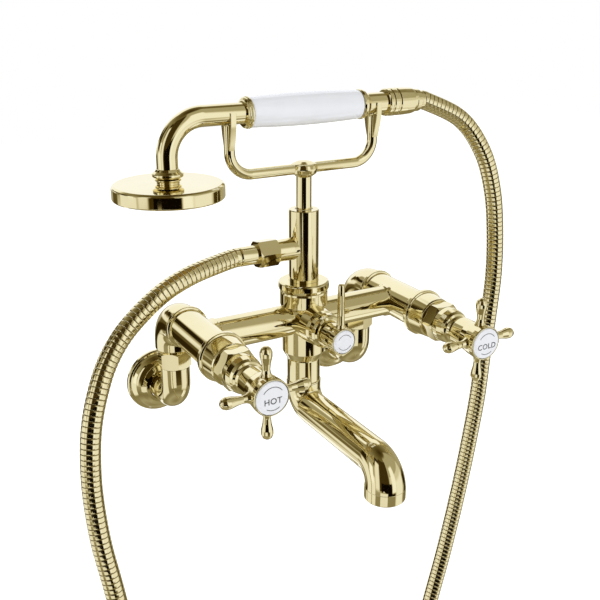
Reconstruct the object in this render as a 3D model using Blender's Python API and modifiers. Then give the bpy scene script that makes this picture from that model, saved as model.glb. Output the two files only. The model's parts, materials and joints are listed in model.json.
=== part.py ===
"""Wall mounted bath and shower mixer with a telephone handset, built piece by piece.

All sizes are in millimetres and are turned into metres by the helpers.
World axes: the wall is the plane Y = 0, -Y points into the room, +X to the right, +Z up.
The origin lies on the wall, midway between the two inlets, at the height of their centres.
"""
import math

import bmesh
import bpy
from mathutils import Matrix, Vector

MM = 0.001
GAP = 0.3

# The body: two valves joined by a bridge, with a centre that carries column, diverter and spout
VALVE_X = 90.0
BRIDGE_REACH = 103.0
BRIDGE_RISE = 75.5
BRIDGE_R = 12.5
BARREL_R = 15.0
BARREL_FRONT = 57.0
BARREL_BACK = -29.3
LEG_BACK = 57.0
LEG_BEND_R = 22.0
LEG_END = -27.0
NECK_R = 10.2
NECK_END = -36.0
CHAMBER_R = 12.8
CHAMBER_END = 14.0
WATERWAY_R = 8.0
CENTRE_R = 17.2
SHOULDER_R = 19.0
CENTRE_TOP = 24.0
CENTRE_BOTTOM = -33.6
BOSS_FRONT = 31.0
PORT_R = 10.0

# Wall connections
NUT_TOP = -30.3
NUT_BOTTOM = -44.5
NUT_FLATS = 24.5
INLET_R = 12.0
INLET_BEND_R = 18.0
FLANGE_R = 28.2
FLANGE_DEPTH = 17.0
RIM_WIDTH = 4.0

# Valve heads
BONNET_FRONT = 68.5
GLAND_FRONT = 83.5
HUB_BACK = 84.0
ARM_PLANE = 107.5
ARM_TIP = 33.5
INDEX_FRONT = 116.2
INDEX_R = 12.0
SPINDLE_R = 3.9
SPINDLE_END = 103.9

# Diverter
DIVERTER_INDEX_R = 9.3
LEVER_PLANE = 56.0
LEVER_TOP = 44.5

# Column and hose outlet
COLLAR_R = 20.2
COLLAR_TOP = 31.7
COLUMN_R = 11.7
COLUMN_TOP = 89.3
OUTLET_RISE = 58.8
OUTLET_START = 25.3
OUTLET_END = 42.0
FERRULE_END = 56.2

# Spout
SPOUT_TOP = -55.0
SPOUT_R = 13.3
SPOUT_RISE = -74.8
SPOUT_REACH = 118.5
SPOUT_END = -101.0
NOSE_BEND_R = 17.0
MOUTH_R = 15.1

# Cradle
STEM_R = 5.9
BAR_R = 4.05
BAR_RISE = 120.65
FORK_X = 61.5
BAR_BEND_R = 17.0
SADDLE_BOTTOM = -6.2
YOKE_FOOT = -25.4

# Handset
HANDLE_RISE = 165.0
PIPE_R = 7.5
PIPE_BEND_R = 27.0
NECK_TUBE_R = 8.1
HEAD_X = -109.0
HEAD_R = 39.5
HEAD_NECK_R = 8.0
HEAD_BOTTOM = 110.5
HEAD_TOP = 121.0
SLEEVE_LEFT = -45.6
SLEEVE_RIGHT = 47.0
CONE_LEFT = 71.2
CONE_RIGHT = 103.8

HOSE_R = 7.25

ROUND = 16
SMALL_ROUND = 12
HEAD_SIDES = 32

RIGHT = Vector((1, 0, 0))
LEFT = Vector((-1, 0, 0))
FORWARD = Vector((0, -1, 0))
BACKWARD = Vector((0, 1, 0))
UP = Vector((0, 0, 1))
DOWN = Vector((0, 0, -1))


def clear_scene():
    for old in list(bpy.data.objects):
        bpy.data.objects.remove(old)


def at(x, forward, rise):
    """World point in metres from a place counted from the middle of the bridge."""
    return Vector((x, -BRIDGE_REACH - forward, BRIDGE_RISE + rise)) * MM


def make_material(name, colour, roughness, metallic):
    material = bpy.data.materials.new(name)
    material.use_nodes = True
    shader = material.node_tree.nodes["Principled BSDF"]
    shader.inputs["Base Color"].default_value = (*colour, 1)
    shader.inputs["Roughness"].default_value = roughness
    shader.inputs["Metallic"].default_value = metallic
    material.diffuse_color = (*colour, 1)
    return material


def bake(obj):
    """Replace an object's modifiers or curve by the mesh that they make."""
    graph = bpy.context.evaluated_depsgraph_get()
    graph.update()
    mesh = bpy.data.meshes.new_from_object(obj.evaluated_get(graph))
    if obj.type == "CURVE":
        baked = bpy.data.objects.new(obj.name, mesh)
        baked.matrix_world = obj.matrix_world
        bpy.data.objects.remove(obj)
        PARTS.objects.link(baked)
    else:
        obj.modifiers.clear()
        obj.data = mesh
        baked = obj
    weld = bmesh.new()
    weld.from_mesh(mesh)
    bmesh.ops.remove_doubles(weld, verts=weld.verts, dist=1e-6)
    weld.to_mesh(mesh)
    weld.free()
    return baked


def finish(obj, name, material, pivot=None):
    """Name and dress a piece, and put its origin on its joint's axis where one is given."""
    if pivot is not None:
        obj.data.transform(Matrix.Translation(-pivot) @ obj.matrix_world)
        obj.matrix_world = Matrix.Translation(pivot)
    obj.name = name
    obj.data.name = name
    obj.data.materials.clear()
    obj.data.materials.append(material)
    obj.data.shade_smooth()
    obj.data.set_sharp_from_angle(angle=math.radians(35))
    return obj


def facing(place, direction):
    """Transform that puts local +Z along direction, at place."""
    turn = direction.to_track_quat("Z", "Y").to_matrix().to_4x4()
    return Matrix.Translation(place) @ turn


def turned(profile, place, direction, steps=ROUND):
    """A turned solid. The profile, (radius, height) in mm, runs down the outer side.

    A profile that starts on the axis is a solid, and any other is closed into a ring.
    """
    mesh = bpy.data.meshes.new("turned")
    outline = bmesh.new()
    points = [outline.verts.new((radius * MM, 0, height * MM)) for radius, height in profile]
    for first, second in zip(points, points[1:]):
        outline.edges.new((first, second))
    if profile[0][0] > 0:
        outline.edges.new((points[-1], points[0]))
    outline.to_mesh(mesh)
    outline.free()
    obj = bpy.data.objects.new("turned", mesh)
    PARTS.objects.link(obj)
    screw = obj.modifiers.new("turn", "SCREW")
    screw.axis = "Z"
    screw.steps = steps
    screw.render_steps = steps
    screw.use_merge_vertices = True
    screw.merge_threshold = 1e-5
    bake(obj)
    obj.matrix_world = facing(place, direction)
    return obj


def rod(radius, low, high, place, direction, steps=ROUND):
    return turned([(0, high), (radius, high), (radius, low), (0, low)], place, direction, steps)


def ring(inner, outer, low, high, place, direction, steps=ROUND):
    profile = [(inner, high), (outer, high), (outer, low), (inner, low)]
    return turned(profile, place, direction, steps)


def tube(points, radius, sides=ROUND, swell=None):
    """A round bar along points in metres, with swell as the radius factor at each point."""
    curve = bpy.data.curves.new("tube", "CURVE")
    curve.dimensions = "3D"
    curve.bevel_depth = radius * MM
    curve.bevel_resolution = sides // 2 - 2
    curve.use_fill_caps = True
    spline = curve.splines.new("POLY")
    spline.points.add(len(points) - 1)
    for number, (target, place) in enumerate(zip(spline.points, points)):
        target.co = (*place, 1)
        target.radius = swell[number] if swell else 1
    obj = bpy.data.objects.new("tube", curve)
    PARTS.objects.link(obj)
    return bake(obj)


def bend(corner, start, end, radius, steps=5):
    """Points in metres of a quarter bend that rounds a corner between two directions."""
    centre = corner + (end - start) * radius * MM
    turn = [math.pi / 2 * step / steps for step in range(steps + 1)]
    return [centre + (start * math.sin(a) - end * math.cos(a)) * radius * MM for a in turn]


def combine(base, others, operation):
    for other in others:
        boolean = base.modifiers.new(operation, "BOOLEAN")
        boolean.operation = operation
        boolean.solver = "EXACT"
        boolean.object = other
        bake(base)
        bpy.data.objects.remove(other)
    return base


def hex_nut(flats, low, high, bore, place, direction, chamfer=1.2):
    """A hexagon nut with chamfered corners and a round bore."""
    corner = flats / 2 / math.cos(math.pi / 6)
    profile = [
        (0, high),
        (corner - chamfer, high),
        (corner, high - chamfer),
        (corner, low + chamfer),
        (corner - chamfer, low),
        (0, low),
    ]
    blank = turned(profile, place, direction, 6)
    return combine(blank, [rod(bore, low - 1, high + 1, place, direction)], "DIFFERENCE")


# ---------------------------------------------------------------- the fixed mixer body


def valve_barrel(side):
    profile = [
        (0, BARREL_FRONT),
        (15.4, BARREL_FRONT),
        (16.2, BARREL_FRONT - 0.8),
        (17.3, 42.2),
        (18.3, 41.6),
        (18.9, 40.4),
        (18.9, 38.0),
        (18.3, 36.8),
        (BARREL_R, 34.4),
        (BARREL_R, -23.6),
        (16.7, -24.6),
        (17.2, -26.0),
        (17.2, -28.0),
        (16.6, BARREL_BACK),
        (0, BARREL_BACK),
    ]
    return turned(profile, at(side * VALVE_X, 0, 0), FORWARD)


def leg_route(side, start, end):
    """Line of the barrel's back bend: backwards, then down towards the wall union."""
    corner = at(side * VALVE_X, -LEG_BACK, 0)
    line = [at(side * VALVE_X, start, 0)]
    line += bend(corner, BACKWARD, DOWN, LEG_BEND_R)
    line.append(at(side * VALVE_X, -LEG_BACK, end))
    return line


def centre_casting():
    profile = [
        (0, CENTRE_TOP),
        (18.2, CENTRE_TOP),
        (SHOULDER_R, CENTRE_TOP - 0.8),
        (SHOULDER_R, 11.5),
        (CENTRE_R, 9.0),
        (CENTRE_R, -27.6),
        (13.8, CENTRE_BOTTOM),
        (0, CENTRE_BOTTOM),
    ]
    return turned(profile, at(0, 0, 0), UP)


def diverter_boss():
    profile = [(0, BOSS_FRONT), (13.4, BOSS_FRONT), (14.2, 30.2), (15.0, 18.0), (15.0, 0), (0, 0)]
    return turned(profile, at(0, 0, 0), FORWARD)


def mixer_body():
    body = centre_casting()
    solids = [diverter_boss(), rod(BRIDGE_R, -VALVE_X, VALVE_X, at(0, 0, 0), RIGHT)]
    bores = [rod(WATERWAY_R, -VALVE_X, VALVE_X, at(0, 0, 0), RIGHT, SMALL_ROUND)]
    bores.append(rod(PORT_R, CENTRE_BOTTOM - 1, CENTRE_TOP + 1, at(0, 0, 0), UP))
    bores.append(rod(PORT_R - 0.5, -6, BOSS_FRONT + 1, at(0, 0, 0), FORWARD))
    for side in (-1, 1):
        leg = at(side * VALVE_X, -LEG_BACK, 0)
        valve = at(side * VALVE_X, 0, 0)
        solids.append(valve_barrel(side))
        solids.append(tube(leg_route(side, -27.0, LEG_END), 15.2))
        solids.append(rod(NECK_R, NECK_END, LEG_END + 4, leg, UP))
        bores.append(tube(leg_route(side, CHAMBER_END + 2, NECK_END - 2), WATERWAY_R + 0.4, SMALL_ROUND))
        bores.append(rod(CHAMBER_R, CHAMBER_END, BARREL_FRONT + 1, valve, FORWARD))
    combine(body, solids, "UNION")
    combine(body, bores, "DIFFERENCE")
    finish(body, "mixer_body", GOLD)


# ---------------------------------------------------------------- wall connections


def inlet_elbow(name, side):
    leg = at(side * VALVE_X, -LEG_BACK, 0)
    corner = at(side * VALVE_X, -LEG_BACK, -BRIDGE_RISE)
    wall_end = at(side * VALVE_X, -BRIDGE_REACH + 0.5, -BRIDGE_RISE)
    line = [at(side * VALVE_X, -LEG_BACK, NUT_BOTTOM - GAP)]
    line += bend(corner, DOWN, BACKWARD, INLET_BEND_R)
    body = tube(line + [wall_end], INLET_R, 16)
    spigot = rod(NECK_R, NUT_BOTTOM - 4, NECK_END - 2.6, leg, UP)
    combine(body, [spigot], "UNION")
    bore_line = [at(side * VALVE_X, -LEG_BACK, NECK_END)] + line[1:]
    bore_end = wall_end + BACKWARD * 2 * MM
    combine(body, [tube(bore_line + [bore_end], WATERWAY_R, SMALL_ROUND)], "DIFFERENCE")
    finish(body, name + "_inlet_elbow", GOLD)


def wall_flange(name, side):
    """Domed cover plate whose flat rim stands on the wall."""
    hole = INLET_R + GAP + 0.1
    profile = [
        (hole, FLANGE_DEPTH),
        (15.5, FLANGE_DEPTH - 0.4),
        (20.0, 14.6),
        (23.4, 11.2),
        (25.4, 7.2),
        (26.0, 4.8),
        (27.6, 4.2),
        (FLANGE_R, 3.0),
        (FLANGE_R, 0),
        (FLANGE_R - RIM_WIDTH, 0),
        (FLANGE_R - RIM_WIDTH, 2.5),
        (21.0, 8.8),
        (16.5, 12.6),
        (hole, 14.4),
    ]
    place = at(side * VALVE_X, -BRIDGE_REACH, -BRIDGE_RISE)
    finish(turned(profile, place, FORWARD), name + "_wall_flange", GOLD)


def wall_union(name, side):
    leg = at(side * VALVE_X, -LEG_BACK, 0)
    nut = hex_nut(NUT_FLATS, NUT_BOTTOM, NUT_TOP, NECK_R + GAP, leg, UP)
    finish(nut, name + "_union_nut", GOLD)
    washer = ring(8.2, NECK_R - 0.1, NECK_END - 2.3, NECK_END - GAP, leg, UP, SMALL_ROUND)
    finish(washer, name + "_inlet_washer", FIBRE)
    inlet_elbow(name, side)
    wall_flange(name, side)


# ---------------------------------------------------------------- valve heads


def cartridge(name, valve):
    nose = SPINDLE_R + 0.4
    shell = [
        (nose, 56.0),
        (12.5, 56.0),
        (12.5, 15.4),
        (9.0, 15.4),
        (9.0, 44.0),
        (nose, 44.0),
    ]
    finish(turned(shell, valve, FORWARD, SMALL_ROUND), name + "_cartridge", BRASS)
    seal = ring(9.6, 12.4, CHAMBER_END + 0.1, 15.1, valve, FORWARD, SMALL_ROUND)
    finish(seal, name + "_cartridge_seal", RUBBER)


def ceramic_disc(name, valve, low, high, port_side):
    """Valve disc with one port beside its axis."""
    disc = rod(8.3, low, high, valve, FORWARD, SMALL_ROUND)
    port = rod(2.6, low - 1, high + 1, valve + RIGHT * port_side * 4.8 * MM, FORWARD, 12)
    finish(combine(disc, [port], "DIFFERENCE"), name, CERAMIC_DISC)


def spindle(name, valve):
    profile = [
        (0, 91.0),
        (2.2, 91.0),
        (2.2, SPINDLE_END),
        (SPINDLE_R, SPINDLE_END),
        (SPINDLE_R, 26.2),
        (8.3, 26.2),
        (8.3, 22.7),
        (0, 22.7),
    ]
    finish(turned(profile, valve, FORWARD, SMALL_ROUND), name + "_spindle", BRASS)


def bonnet(name, valve):
    bonnet_nut = hex_nut(28.0, BARREL_FRONT + GAP, BONNET_FRONT, SPINDLE_R + 0.5, valve, FORWARD, 1.8)
    finish(bonnet_nut, name + "_bonnet", GOLD)
    bore = SPINDLE_R + 0.4
    gland = [
        (bore, GLAND_FRONT),
        (9.4, GLAND_FRONT),
        (9.8, 80.4),
        (12.2, 79.8),
        (13.2, 78.2),
        (13.8, 73.0),
        (13.8, BONNET_FRONT + GAP),
        (bore, BONNET_FRONT + GAP),
    ]
    finish(turned(gland, valve, FORWARD), name + "_gland_nut", GOLD)


def handle_arm(valve, direction):
    profile = [
        (0, ARM_TIP),
        (2.8, 32.8),
        (4.4, 29.0),
        (4.1, 26.0),
        (2.8, 17.5),
        (3.2, 13.0),
        (3.4, 7.5),
        (0, 7.5),
    ]
    return turned(profile, valve + FORWARD * ARM_PLANE * MM, direction, 10)


def cross_handle(name, valve):
    bore = SPINDLE_R + 0.4
    recess = INDEX_R + GAP
    hub = [
        (recess, 115.2),
        (12.7, 115.2),
        (13.1, 114.7),
        (13.1, 111.0),
        (12.4, 103.5),
        (11.3, 97.5),
        (11.2, 87.0),
        (10.2, HUB_BACK),
        (bore, HUB_BACK),
        (bore, 104.2),
        (5.7, 104.2),
        (5.7, 111.6),
        (recess, 111.6),
    ]
    handle = turned(hub, valve, FORWARD)
    arms = [handle_arm(valve, direction) for direction in (UP, DOWN, LEFT, RIGHT)]
    finish(combine(handle, arms, "UNION"), name + "_handle", GOLD)


def screw(name, place, shoulder, length):
    """Countersunk fixing screw with its head in front of the shoulder."""
    profile = [
        (0, shoulder + 3.2),
        (5.0, shoulder + 3.2),
        (5.2, shoulder + GAP),
        (1.9, shoulder + GAP),
        (1.9, shoulder - length),
        (0, shoulder - length),
    ]
    finish(turned(profile, place, FORWARD, SMALL_ROUND), name, STEEL)


def index_disc(name, place, radius, front, thickness):
    profile = [
        (0, front),
        (radius * 0.7, front - 0.15),
        (radius - 0.8, front - 0.6),
        (radius, front - 1.3),
        (radius, front - thickness),
        (0, front - thickness),
    ]
    finish(turned(profile, place, FORWARD), name, PORCELAIN)


def valve_head(name, side):
    valve = at(side * VALVE_X, 0, 0)
    cartridge(name, valve)
    ceramic_disc(name + "_fixed_disc", valve, 16.0, 19.0, side)
    ceramic_disc(name + "_moving_disc", valve, 19.3, 22.3, -side)
    spindle(name, valve)
    bonnet(name, valve)
    cross_handle(name, valve)
    screw(name + "_handle_screw", valve, 104.2, 12.0)
    index_disc(name + "_index", valve, INDEX_R, INDEX_FRONT, 4.3)


# ---------------------------------------------------------------- diverter


def diverter():
    middle = at(0, 0, 0)
    bore = SPINDLE_R + 0.4
    bonnet_ring = [
        (bore, 39.0),
        (10.6, 39.0),
        (12.4, 38.2),
        (13.4, 36.0),
        (13.6, BOSS_FRONT + GAP),
        (bore, BOSS_FRONT + GAP),
    ]
    finish(turned(bonnet_ring, middle, FORWARD), "diverter_bonnet", GOLD)
    seal = ring(bore, 9.2, 25.0, 28.0, middle, FORWARD, SMALL_ROUND)
    finish(seal, "diverter_seal", RUBBER)
    spool = [
        (0, 40.5),
        (2.2, 40.5),
        (2.2, 50.5),
        (SPINDLE_R, 50.5),
        (SPINDLE_R, 18.0),
        (9.2, 18.0),
        (9.2, 12.0),
        (SPINDLE_R, 12.0),
        (SPINDLE_R, 0.0),
        (9.2, 0.0),
        (9.2, -5.0),
        (0, -5.0),
    ]
    finish(turned(spool, middle, FORWARD, SMALL_ROUND), "diverter_spool", BRASS)
    diverter_lever(middle, bore)
    screw("diverter_screw", middle, 50.8, 9.0)
    index_disc("diverter_index", middle, DIVERTER_INDEX_R, 61.3, 3.4)


def diverter_lever(middle, bore):
    recess = DIVERTER_INDEX_R + GAP
    hub = [
        (recess, 60.4),
        (10.0, 60.4),
        (10.4, 59.9),
        (10.4, 53.0),
        (9.6, 48.0),
        (9.6, 42.0),
        (8.8, 39.8),
        (bore, 39.8),
        (bore, 50.8),
        (5.7, 50.8),
        (5.7, 57.6),
        (recess, 57.6),
    ]
    lever = turned(hub, middle, FORWARD)
    blade = [
        (0, LEVER_TOP),
        (1.6, LEVER_TOP - 0.5),
        (2.3, LEVER_TOP - 2.0),
        (2.7, 28.0),
        (3.0, 12.0),
        (3.0, 9.7),
        (0, 9.7),
    ]
    arm = turned(blade, middle + FORWARD * LEVER_PLANE * MM, UP, 10)
    finish(combine(lever, [arm], "UNION"), "diverter_lever", GOLD)


# ---------------------------------------------------------------- column and hose outlet


def riser_column():
    middle = at(0, 0, 0)
    column = [
        (0, 76.0),
        (6.9, 76.0),
        (6.9, COLUMN_TOP),
        (11.2, COLUMN_TOP),
        (COLUMN_R, COLUMN_TOP - 0.5),
        (COLUMN_R, COLLAR_TOP + GAP),
        (9.6, COLLAR_TOP + GAP),
        (9.6, 12.0),
        (7.2, 12.0),
        (7.2, 72.0),
        (0, 72.0),
    ]
    body = turned(column, middle, UP)
    outlet = at(0, 0, OUTLET_RISE)
    shoulder = OUTLET_START - GAP
    stub = [(0, 37.0), (7.3, 37.0), (7.3, shoulder), (8.7, shoulder), (8.7, 4.0), (0, 4.0)]
    combine(body, [turned(stub, outlet, LEFT)], "UNION")
    combine(body, [rod(5.2, 2.0, 38.0, outlet, LEFT, SMALL_ROUND)], "DIFFERENCE")
    finish(body, "riser_column", GOLD)
    collar = [
        (9.9, COLLAR_TOP),
        (18.8, COLLAR_TOP),
        (19.9, COLLAR_TOP - 0.7),
        (COLLAR_R, COLLAR_TOP - 2.2),
        (COLLAR_R, 26.2),
        (19.8, 25.0),
        (19.0, CENTRE_TOP + GAP),
        (9.9, CENTRE_TOP + GAP),
    ]
    finish(turned(collar, middle, UP), "column_collar", GOLD)
    bush = ring(STEM_R + GAP, 6.7, 76.3, COLUMN_TOP - 0.2, middle, UP, SMALL_ROUND)
    finish(bush, "cradle_bush", NYLON)


def hose_outlet():
    outlet = at(0, 0, OUTLET_RISE)
    finish(rod(4.9, 14.0, 34.0, outlet, LEFT, SMALL_ROUND), "hose_check_valve", NYLON)
    nut = hex_nut(19.6, OUTLET_START, OUTLET_END, 7.6, outlet, LEFT, 1.0)
    finish(nut, "hose_outlet_nut", GOLD)
    washer = ring(4.2, 7.0, 37.3, 38.6, outlet, LEFT, SMALL_ROUND)
    finish(washer, "hose_outlet_washer", RUBBER)
    ferrule = ring(4.4, HOSE_R, 38.9, FERRULE_END, outlet, LEFT, SMALL_ROUND)
    finish(ferrule, "hose_outlet_ferrule", GOLD)


# ---------------------------------------------------------------- spout


def spout_line():
    elbow = bend(at(0, 0, SPOUT_RISE), DOWN, FORWARD, 14.5)
    nose = bend(at(0, SPOUT_REACH, SPOUT_RISE), FORWARD, DOWN, NOSE_BEND_R)
    return [at(0, 0, SPOUT_TOP)] + elbow + nose + [at(0, SPOUT_REACH, SPOUT_END)]


def spout():
    middle = at(0, 0, 0)
    line = spout_line()
    swell = [1.06, 1.02, 1.02] + [1.0] * 6 + [1.02, 1.05, 1.09] + [MOUTH_R / SPOUT_R] * 2
    body = tube(line, SPOUT_R, ROUND, swell)
    shank = rod(8.2, SPOUT_TOP - 4, -28.0, middle, UP, SMALL_ROUND)
    combine(body, [shank], "UNION")
    above = middle + UP * -26.0 * MM
    bore = tube([above] + line[1:], 6.0, SMALL_ROUND)
    mouth = at(0, SPOUT_REACH, 0)
    counterbore = rod(12.6, SPOUT_END - 1, SPOUT_END + 10.0, mouth, UP)
    combine(body, [bore, counterbore], "DIFFERENCE")
    finish(body, "spout", GOLD, middle)
    housing = ring(8.9, 12.2, SPOUT_END + 0.6, SPOUT_END + 9.0, mouth, UP, SMALL_ROUND)
    finish(housing, "aerator_housing", BRASS, middle)
    nozzle = [
        (0, SPOUT_END + 6.0),
        (8.4, SPOUT_END + 6.0),
        (8.4, SPOUT_END - 1.7),
        (7.8, SPOUT_END - 2.4),
        (6.2, SPOUT_END - 2.4),
        (6.2, SPOUT_END - 1.1),
        (0, SPOUT_END - 1.1),
    ]
    finish(turned(nozzle, mouth, UP, SMALL_ROUND), "aerator_nozzle", BRASS, middle)


def spout_collar():
    middle = at(0, 0, 0)
    profile = [
        (PORT_R, CENTRE_BOTTOM - GAP),
        (12.9, CENTRE_BOTTOM - GAP),
        (13.4, CENTRE_BOTTOM - 0.9),
        (13.4, SPOUT_TOP + 1.4),
        (14.0, SPOUT_TOP + GAP),
        (PORT_R, SPOUT_TOP + GAP),
    ]
    finish(turned(profile, middle, UP), "spout_collar", GOLD)
    seal = ring(8.6, 9.8, -46.4, -43.6, middle, UP, SMALL_ROUND)
    finish(seal, "spout_seal", RUBBER)


# ---------------------------------------------------------------- cradle


def fork(side, hollow):
    """Flat yoke on the end of the bar, cut out round the handset; an outline with thickness."""
    width = hollow + 0.8
    tip_rise = 1.4
    lean = math.asin(tip_rise / hollow)
    turns = 12
    right_side = [(width, tip_rise), (width, -20.0), (width - 0.6, YOKE_FOOT), (2.0, YOKE_FOOT)]
    outline = [(-across, rise) for across, rise in reversed(right_side)]
    for step in range(turns + 1):
        angle = math.pi - lean + (math.pi + 2 * lean) * step / turns
        outline.append((hollow * math.cos(angle), hollow * math.sin(angle)))
    outline += right_side
    curve = bpy.data.curves.new("fork", "CURVE")
    curve.dimensions = "2D"
    curve.fill_mode = "BOTH"
    curve.extrude = 2.2 * MM
    spline = curve.splines.new("POLY")
    spline.points.add(len(outline) - 1)
    spline.use_cyclic_u = True
    for target, (across, rise) in zip(spline.points, outline):
        target.co = (across * MM, rise * MM, 0, 1)
    obj = bpy.data.objects.new("fork", curve)
    PARTS.objects.link(obj)
    upright = Matrix(((0, 0, 1), (1, 0, 0), (0, 1, 0))).to_4x4()
    place = Matrix.Translation(at(side * FORK_X, 0, HANDLE_RISE)) @ upright
    baked = bake(obj)
    baked.matrix_world = place
    return baked


def cradle():
    left_corner = at(-FORK_X, 0, BAR_RISE)
    right_corner = at(FORK_X, 0, BAR_RISE)
    line = [at(-FORK_X, 0, 146.0)]
    line += bend(left_corner, DOWN, RIGHT, BAR_BEND_R)
    line += bend(right_corner, RIGHT, UP, BAR_BEND_R)
    line.append(at(FORK_X, 0, 146.0))
    bar = tube(line, BAR_R, 12)
    saddle = [
        (0, 6.1),
        (4.2, 5.7),
        (8.2, 4.2),
        (10.5, 1.8),
        (10.9, 0),
        (10.5, -1.8),
        (8.4, -4.6),
        (STEM_R, SADDLE_BOTTOM),
        (0, SADDLE_BOTTOM),
    ]
    boss = turned(saddle, at(0, 0, BAR_RISE), UP)
    combine(bar, [boss, fork(-1, PIPE_R + GAP), fork(1, NECK_TUBE_R + GAP)], "UNION")
    finish(bar, "cradle_bar", GOLD, at(0, 0, 0))
    stem = rod(STEM_R, 76.6, BAR_RISE + SADDLE_BOTTOM - GAP, at(0, 0, 0), UP)
    finish(stem, "cradle_stem", GOLD)


# ---------------------------------------------------------------- handset


def shower_head():
    middle = at(HEAD_X, 0, 0)
    pivot = at(0, 0, HANDLE_RISE)
    shell = [
        (5.2, 124.6),
        (HEAD_NECK_R, 124.6),
        (9.2, 124.0),
        (9.2, 123.2),
        (HEAD_NECK_R, 122.6),
        (HEAD_NECK_R, HEAD_TOP),
        (37.3, HEAD_TOP),
        (38.8, HEAD_TOP - 0.6),
        (HEAD_R, HEAD_TOP - 2.0),
        (HEAD_R, HEAD_BOTTOM + 1.0),
        (38.7, HEAD_BOTTOM),
        (37.2, HEAD_BOTTOM),
        (37.2, HEAD_TOP - 2.2),
        (5.2, HEAD_TOP - 2.2),
    ]
    finish(turned(shell, middle, UP, HEAD_SIDES), "shower_head", GOLD, pivot)
    plate = rod(36.9, HEAD_BOTTOM + 0.4, HEAD_BOTTOM + 3.0, middle, UP, HEAD_SIDES)
    finish(plate, "spray_plate", BRASS, pivot)
    union = [
        (PIPE_R + GAP, 131.0),
        (8.4, 130.6),
        (9.6, 129.2),
        (11.0, 127.6),
        (11.0, 126.2),
        (10.0, 125.2),
        (8.8, 124.9),
        (PIPE_R + GAP, 124.9),
    ]
    finish(turned(union, middle, UP), "head_union", GOLD, pivot)


def handset_pipe():
    corner = at(HEAD_X, 0, HANDLE_RISE)
    line = [at(HEAD_X, 0, 124.9)] + bend(corner, UP, RIGHT, PIPE_BEND_R, 8)
    line.append(at(SLEEVE_RIGHT + 7.0, 0, HANDLE_RISE))
    pipe = tube(line, PIPE_R, 16)
    through = [line[0] + DOWN * MM] + line[1:-1] + [line[-1] + RIGHT * MM]
    bore = tube(through, PIPE_R - 1.8, SMALL_ROUND)
    combine(pipe, [bore], "DIFFERENCE")
    finish(pipe, "handset_pipe", GOLD, at(0, 0, HANDLE_RISE))


def handset_grip():
    axis = at(0, 0, HANDLE_RISE)
    bore = PIPE_R + GAP
    front_collar = [
        (bore, SLEEVE_LEFT - GAP),
        (10.9, SLEEVE_LEFT - GAP),
        (11.4, -46.4),
        (11.4, -47.6),
        (10.5, -48.1),
        (10.9, -48.8),
        (10.6, -49.8),
        (8.8, -50.5),
        (bore, -50.5),
    ]
    finish(turned(front_collar, axis, RIGHT), "front_collar", GOLD)
    length = SLEEVE_RIGHT - SLEEVE_LEFT
    sleeve = [(bore, SLEEVE_RIGHT)]
    rows = 6
    for row in range(rows + 1):
        along = row / rows
        sleeve.append((10.7 + 1.2 * math.sin(math.pi * along), SLEEVE_RIGHT - length * along))
    sleeve.append((bore, SLEEVE_LEFT))
    finish(turned(sleeve, axis, RIGHT), "ceramic_sleeve", PORCELAIN)
    rear_collar = [
        (bore, 54.1),
        (8.8, 54.1),
        (9.4, 52.6),
        (11.0, 50.4),
        (11.3, 48.2),
        (10.8, SLEEVE_RIGHT + GAP),
        (bore, SLEEVE_RIGHT + GAP),
    ]
    finish(turned(rear_collar, axis, RIGHT), "rear_collar", GOLD)


def handset_tail():
    axis = at(0, 0, HANDLE_RISE)
    neck = [
        (5.4, 84.0),
        (6.8, 84.0),
        (6.8, CONE_LEFT - GAP),
        (NECK_TUBE_R, CONE_LEFT - GAP),
        (NECK_TUBE_R, 54.4),
        (5.4, 54.4),
    ]
    finish(turned(neck, axis, RIGHT), "handset_neck", GOLD)
    washer = ring(4.4, 6.9, 84.3, 86.3, axis, RIGHT, SMALL_ROUND)
    finish(washer, "handset_washer", RUBBER)
    cone = [
        (4.6, CONE_RIGHT),
        (8.4, CONE_RIGHT),
        (8.8, CONE_RIGHT - 0.8),
        (8.9, 98.6),
        (9.9, 97.6),
        (10.5, 88.0),
        (10.5, 82.0),
        (9.9, 80.6),
        (10.6, 79.0),
        (10.6, 75.8),
        (10.2, CONE_LEFT),
        (7.1, CONE_LEFT),
        (7.1, 97.0),
        (4.6, 97.0),
    ]
    finish(turned(cone, axis, RIGHT), "hose_cone_nut", GOLD)


# ---------------------------------------------------------------- hose


def smooth_line(route, spacing):
    """Evenly spaced points on a smooth curve through the route's own points."""
    dense = []
    for number in range(len(route) - 1):
        before = route[max(number - 1, 0)]
        start = route[number]
        end = route[number + 1]
        after = route[min(number + 2, len(route) - 1)]
        for step in range(24):
            t = step / 24
            leave = (end - before) / 2
            arrive = (after - start) / 2
            dense.append(
                start * (2 * t**3 - 3 * t**2 + 1)
                + leave * (t**3 - 2 * t**2 + t)
                + end * (3 * t**2 - 2 * t**3)
                + arrive * (t**3 - t**2)
            )
    dense.append(route[-1])
    travelled = [0.0]
    for first, second in zip(dense, dense[1:]):
        travelled.append(travelled[-1] + (second - first).length)
    count = round(travelled[-1] / spacing)
    line = []
    place = 0
    for number in range(count + 1):
        target = travelled[-1] * number / count
        while place < len(dense) - 2 and travelled[place + 1] < target:
            place += 1
        step = travelled[place + 1] - travelled[place]
        share = (target - travelled[place]) / step
        line.append(dense[place].lerp(dense[place + 1], share))
    return line


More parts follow.
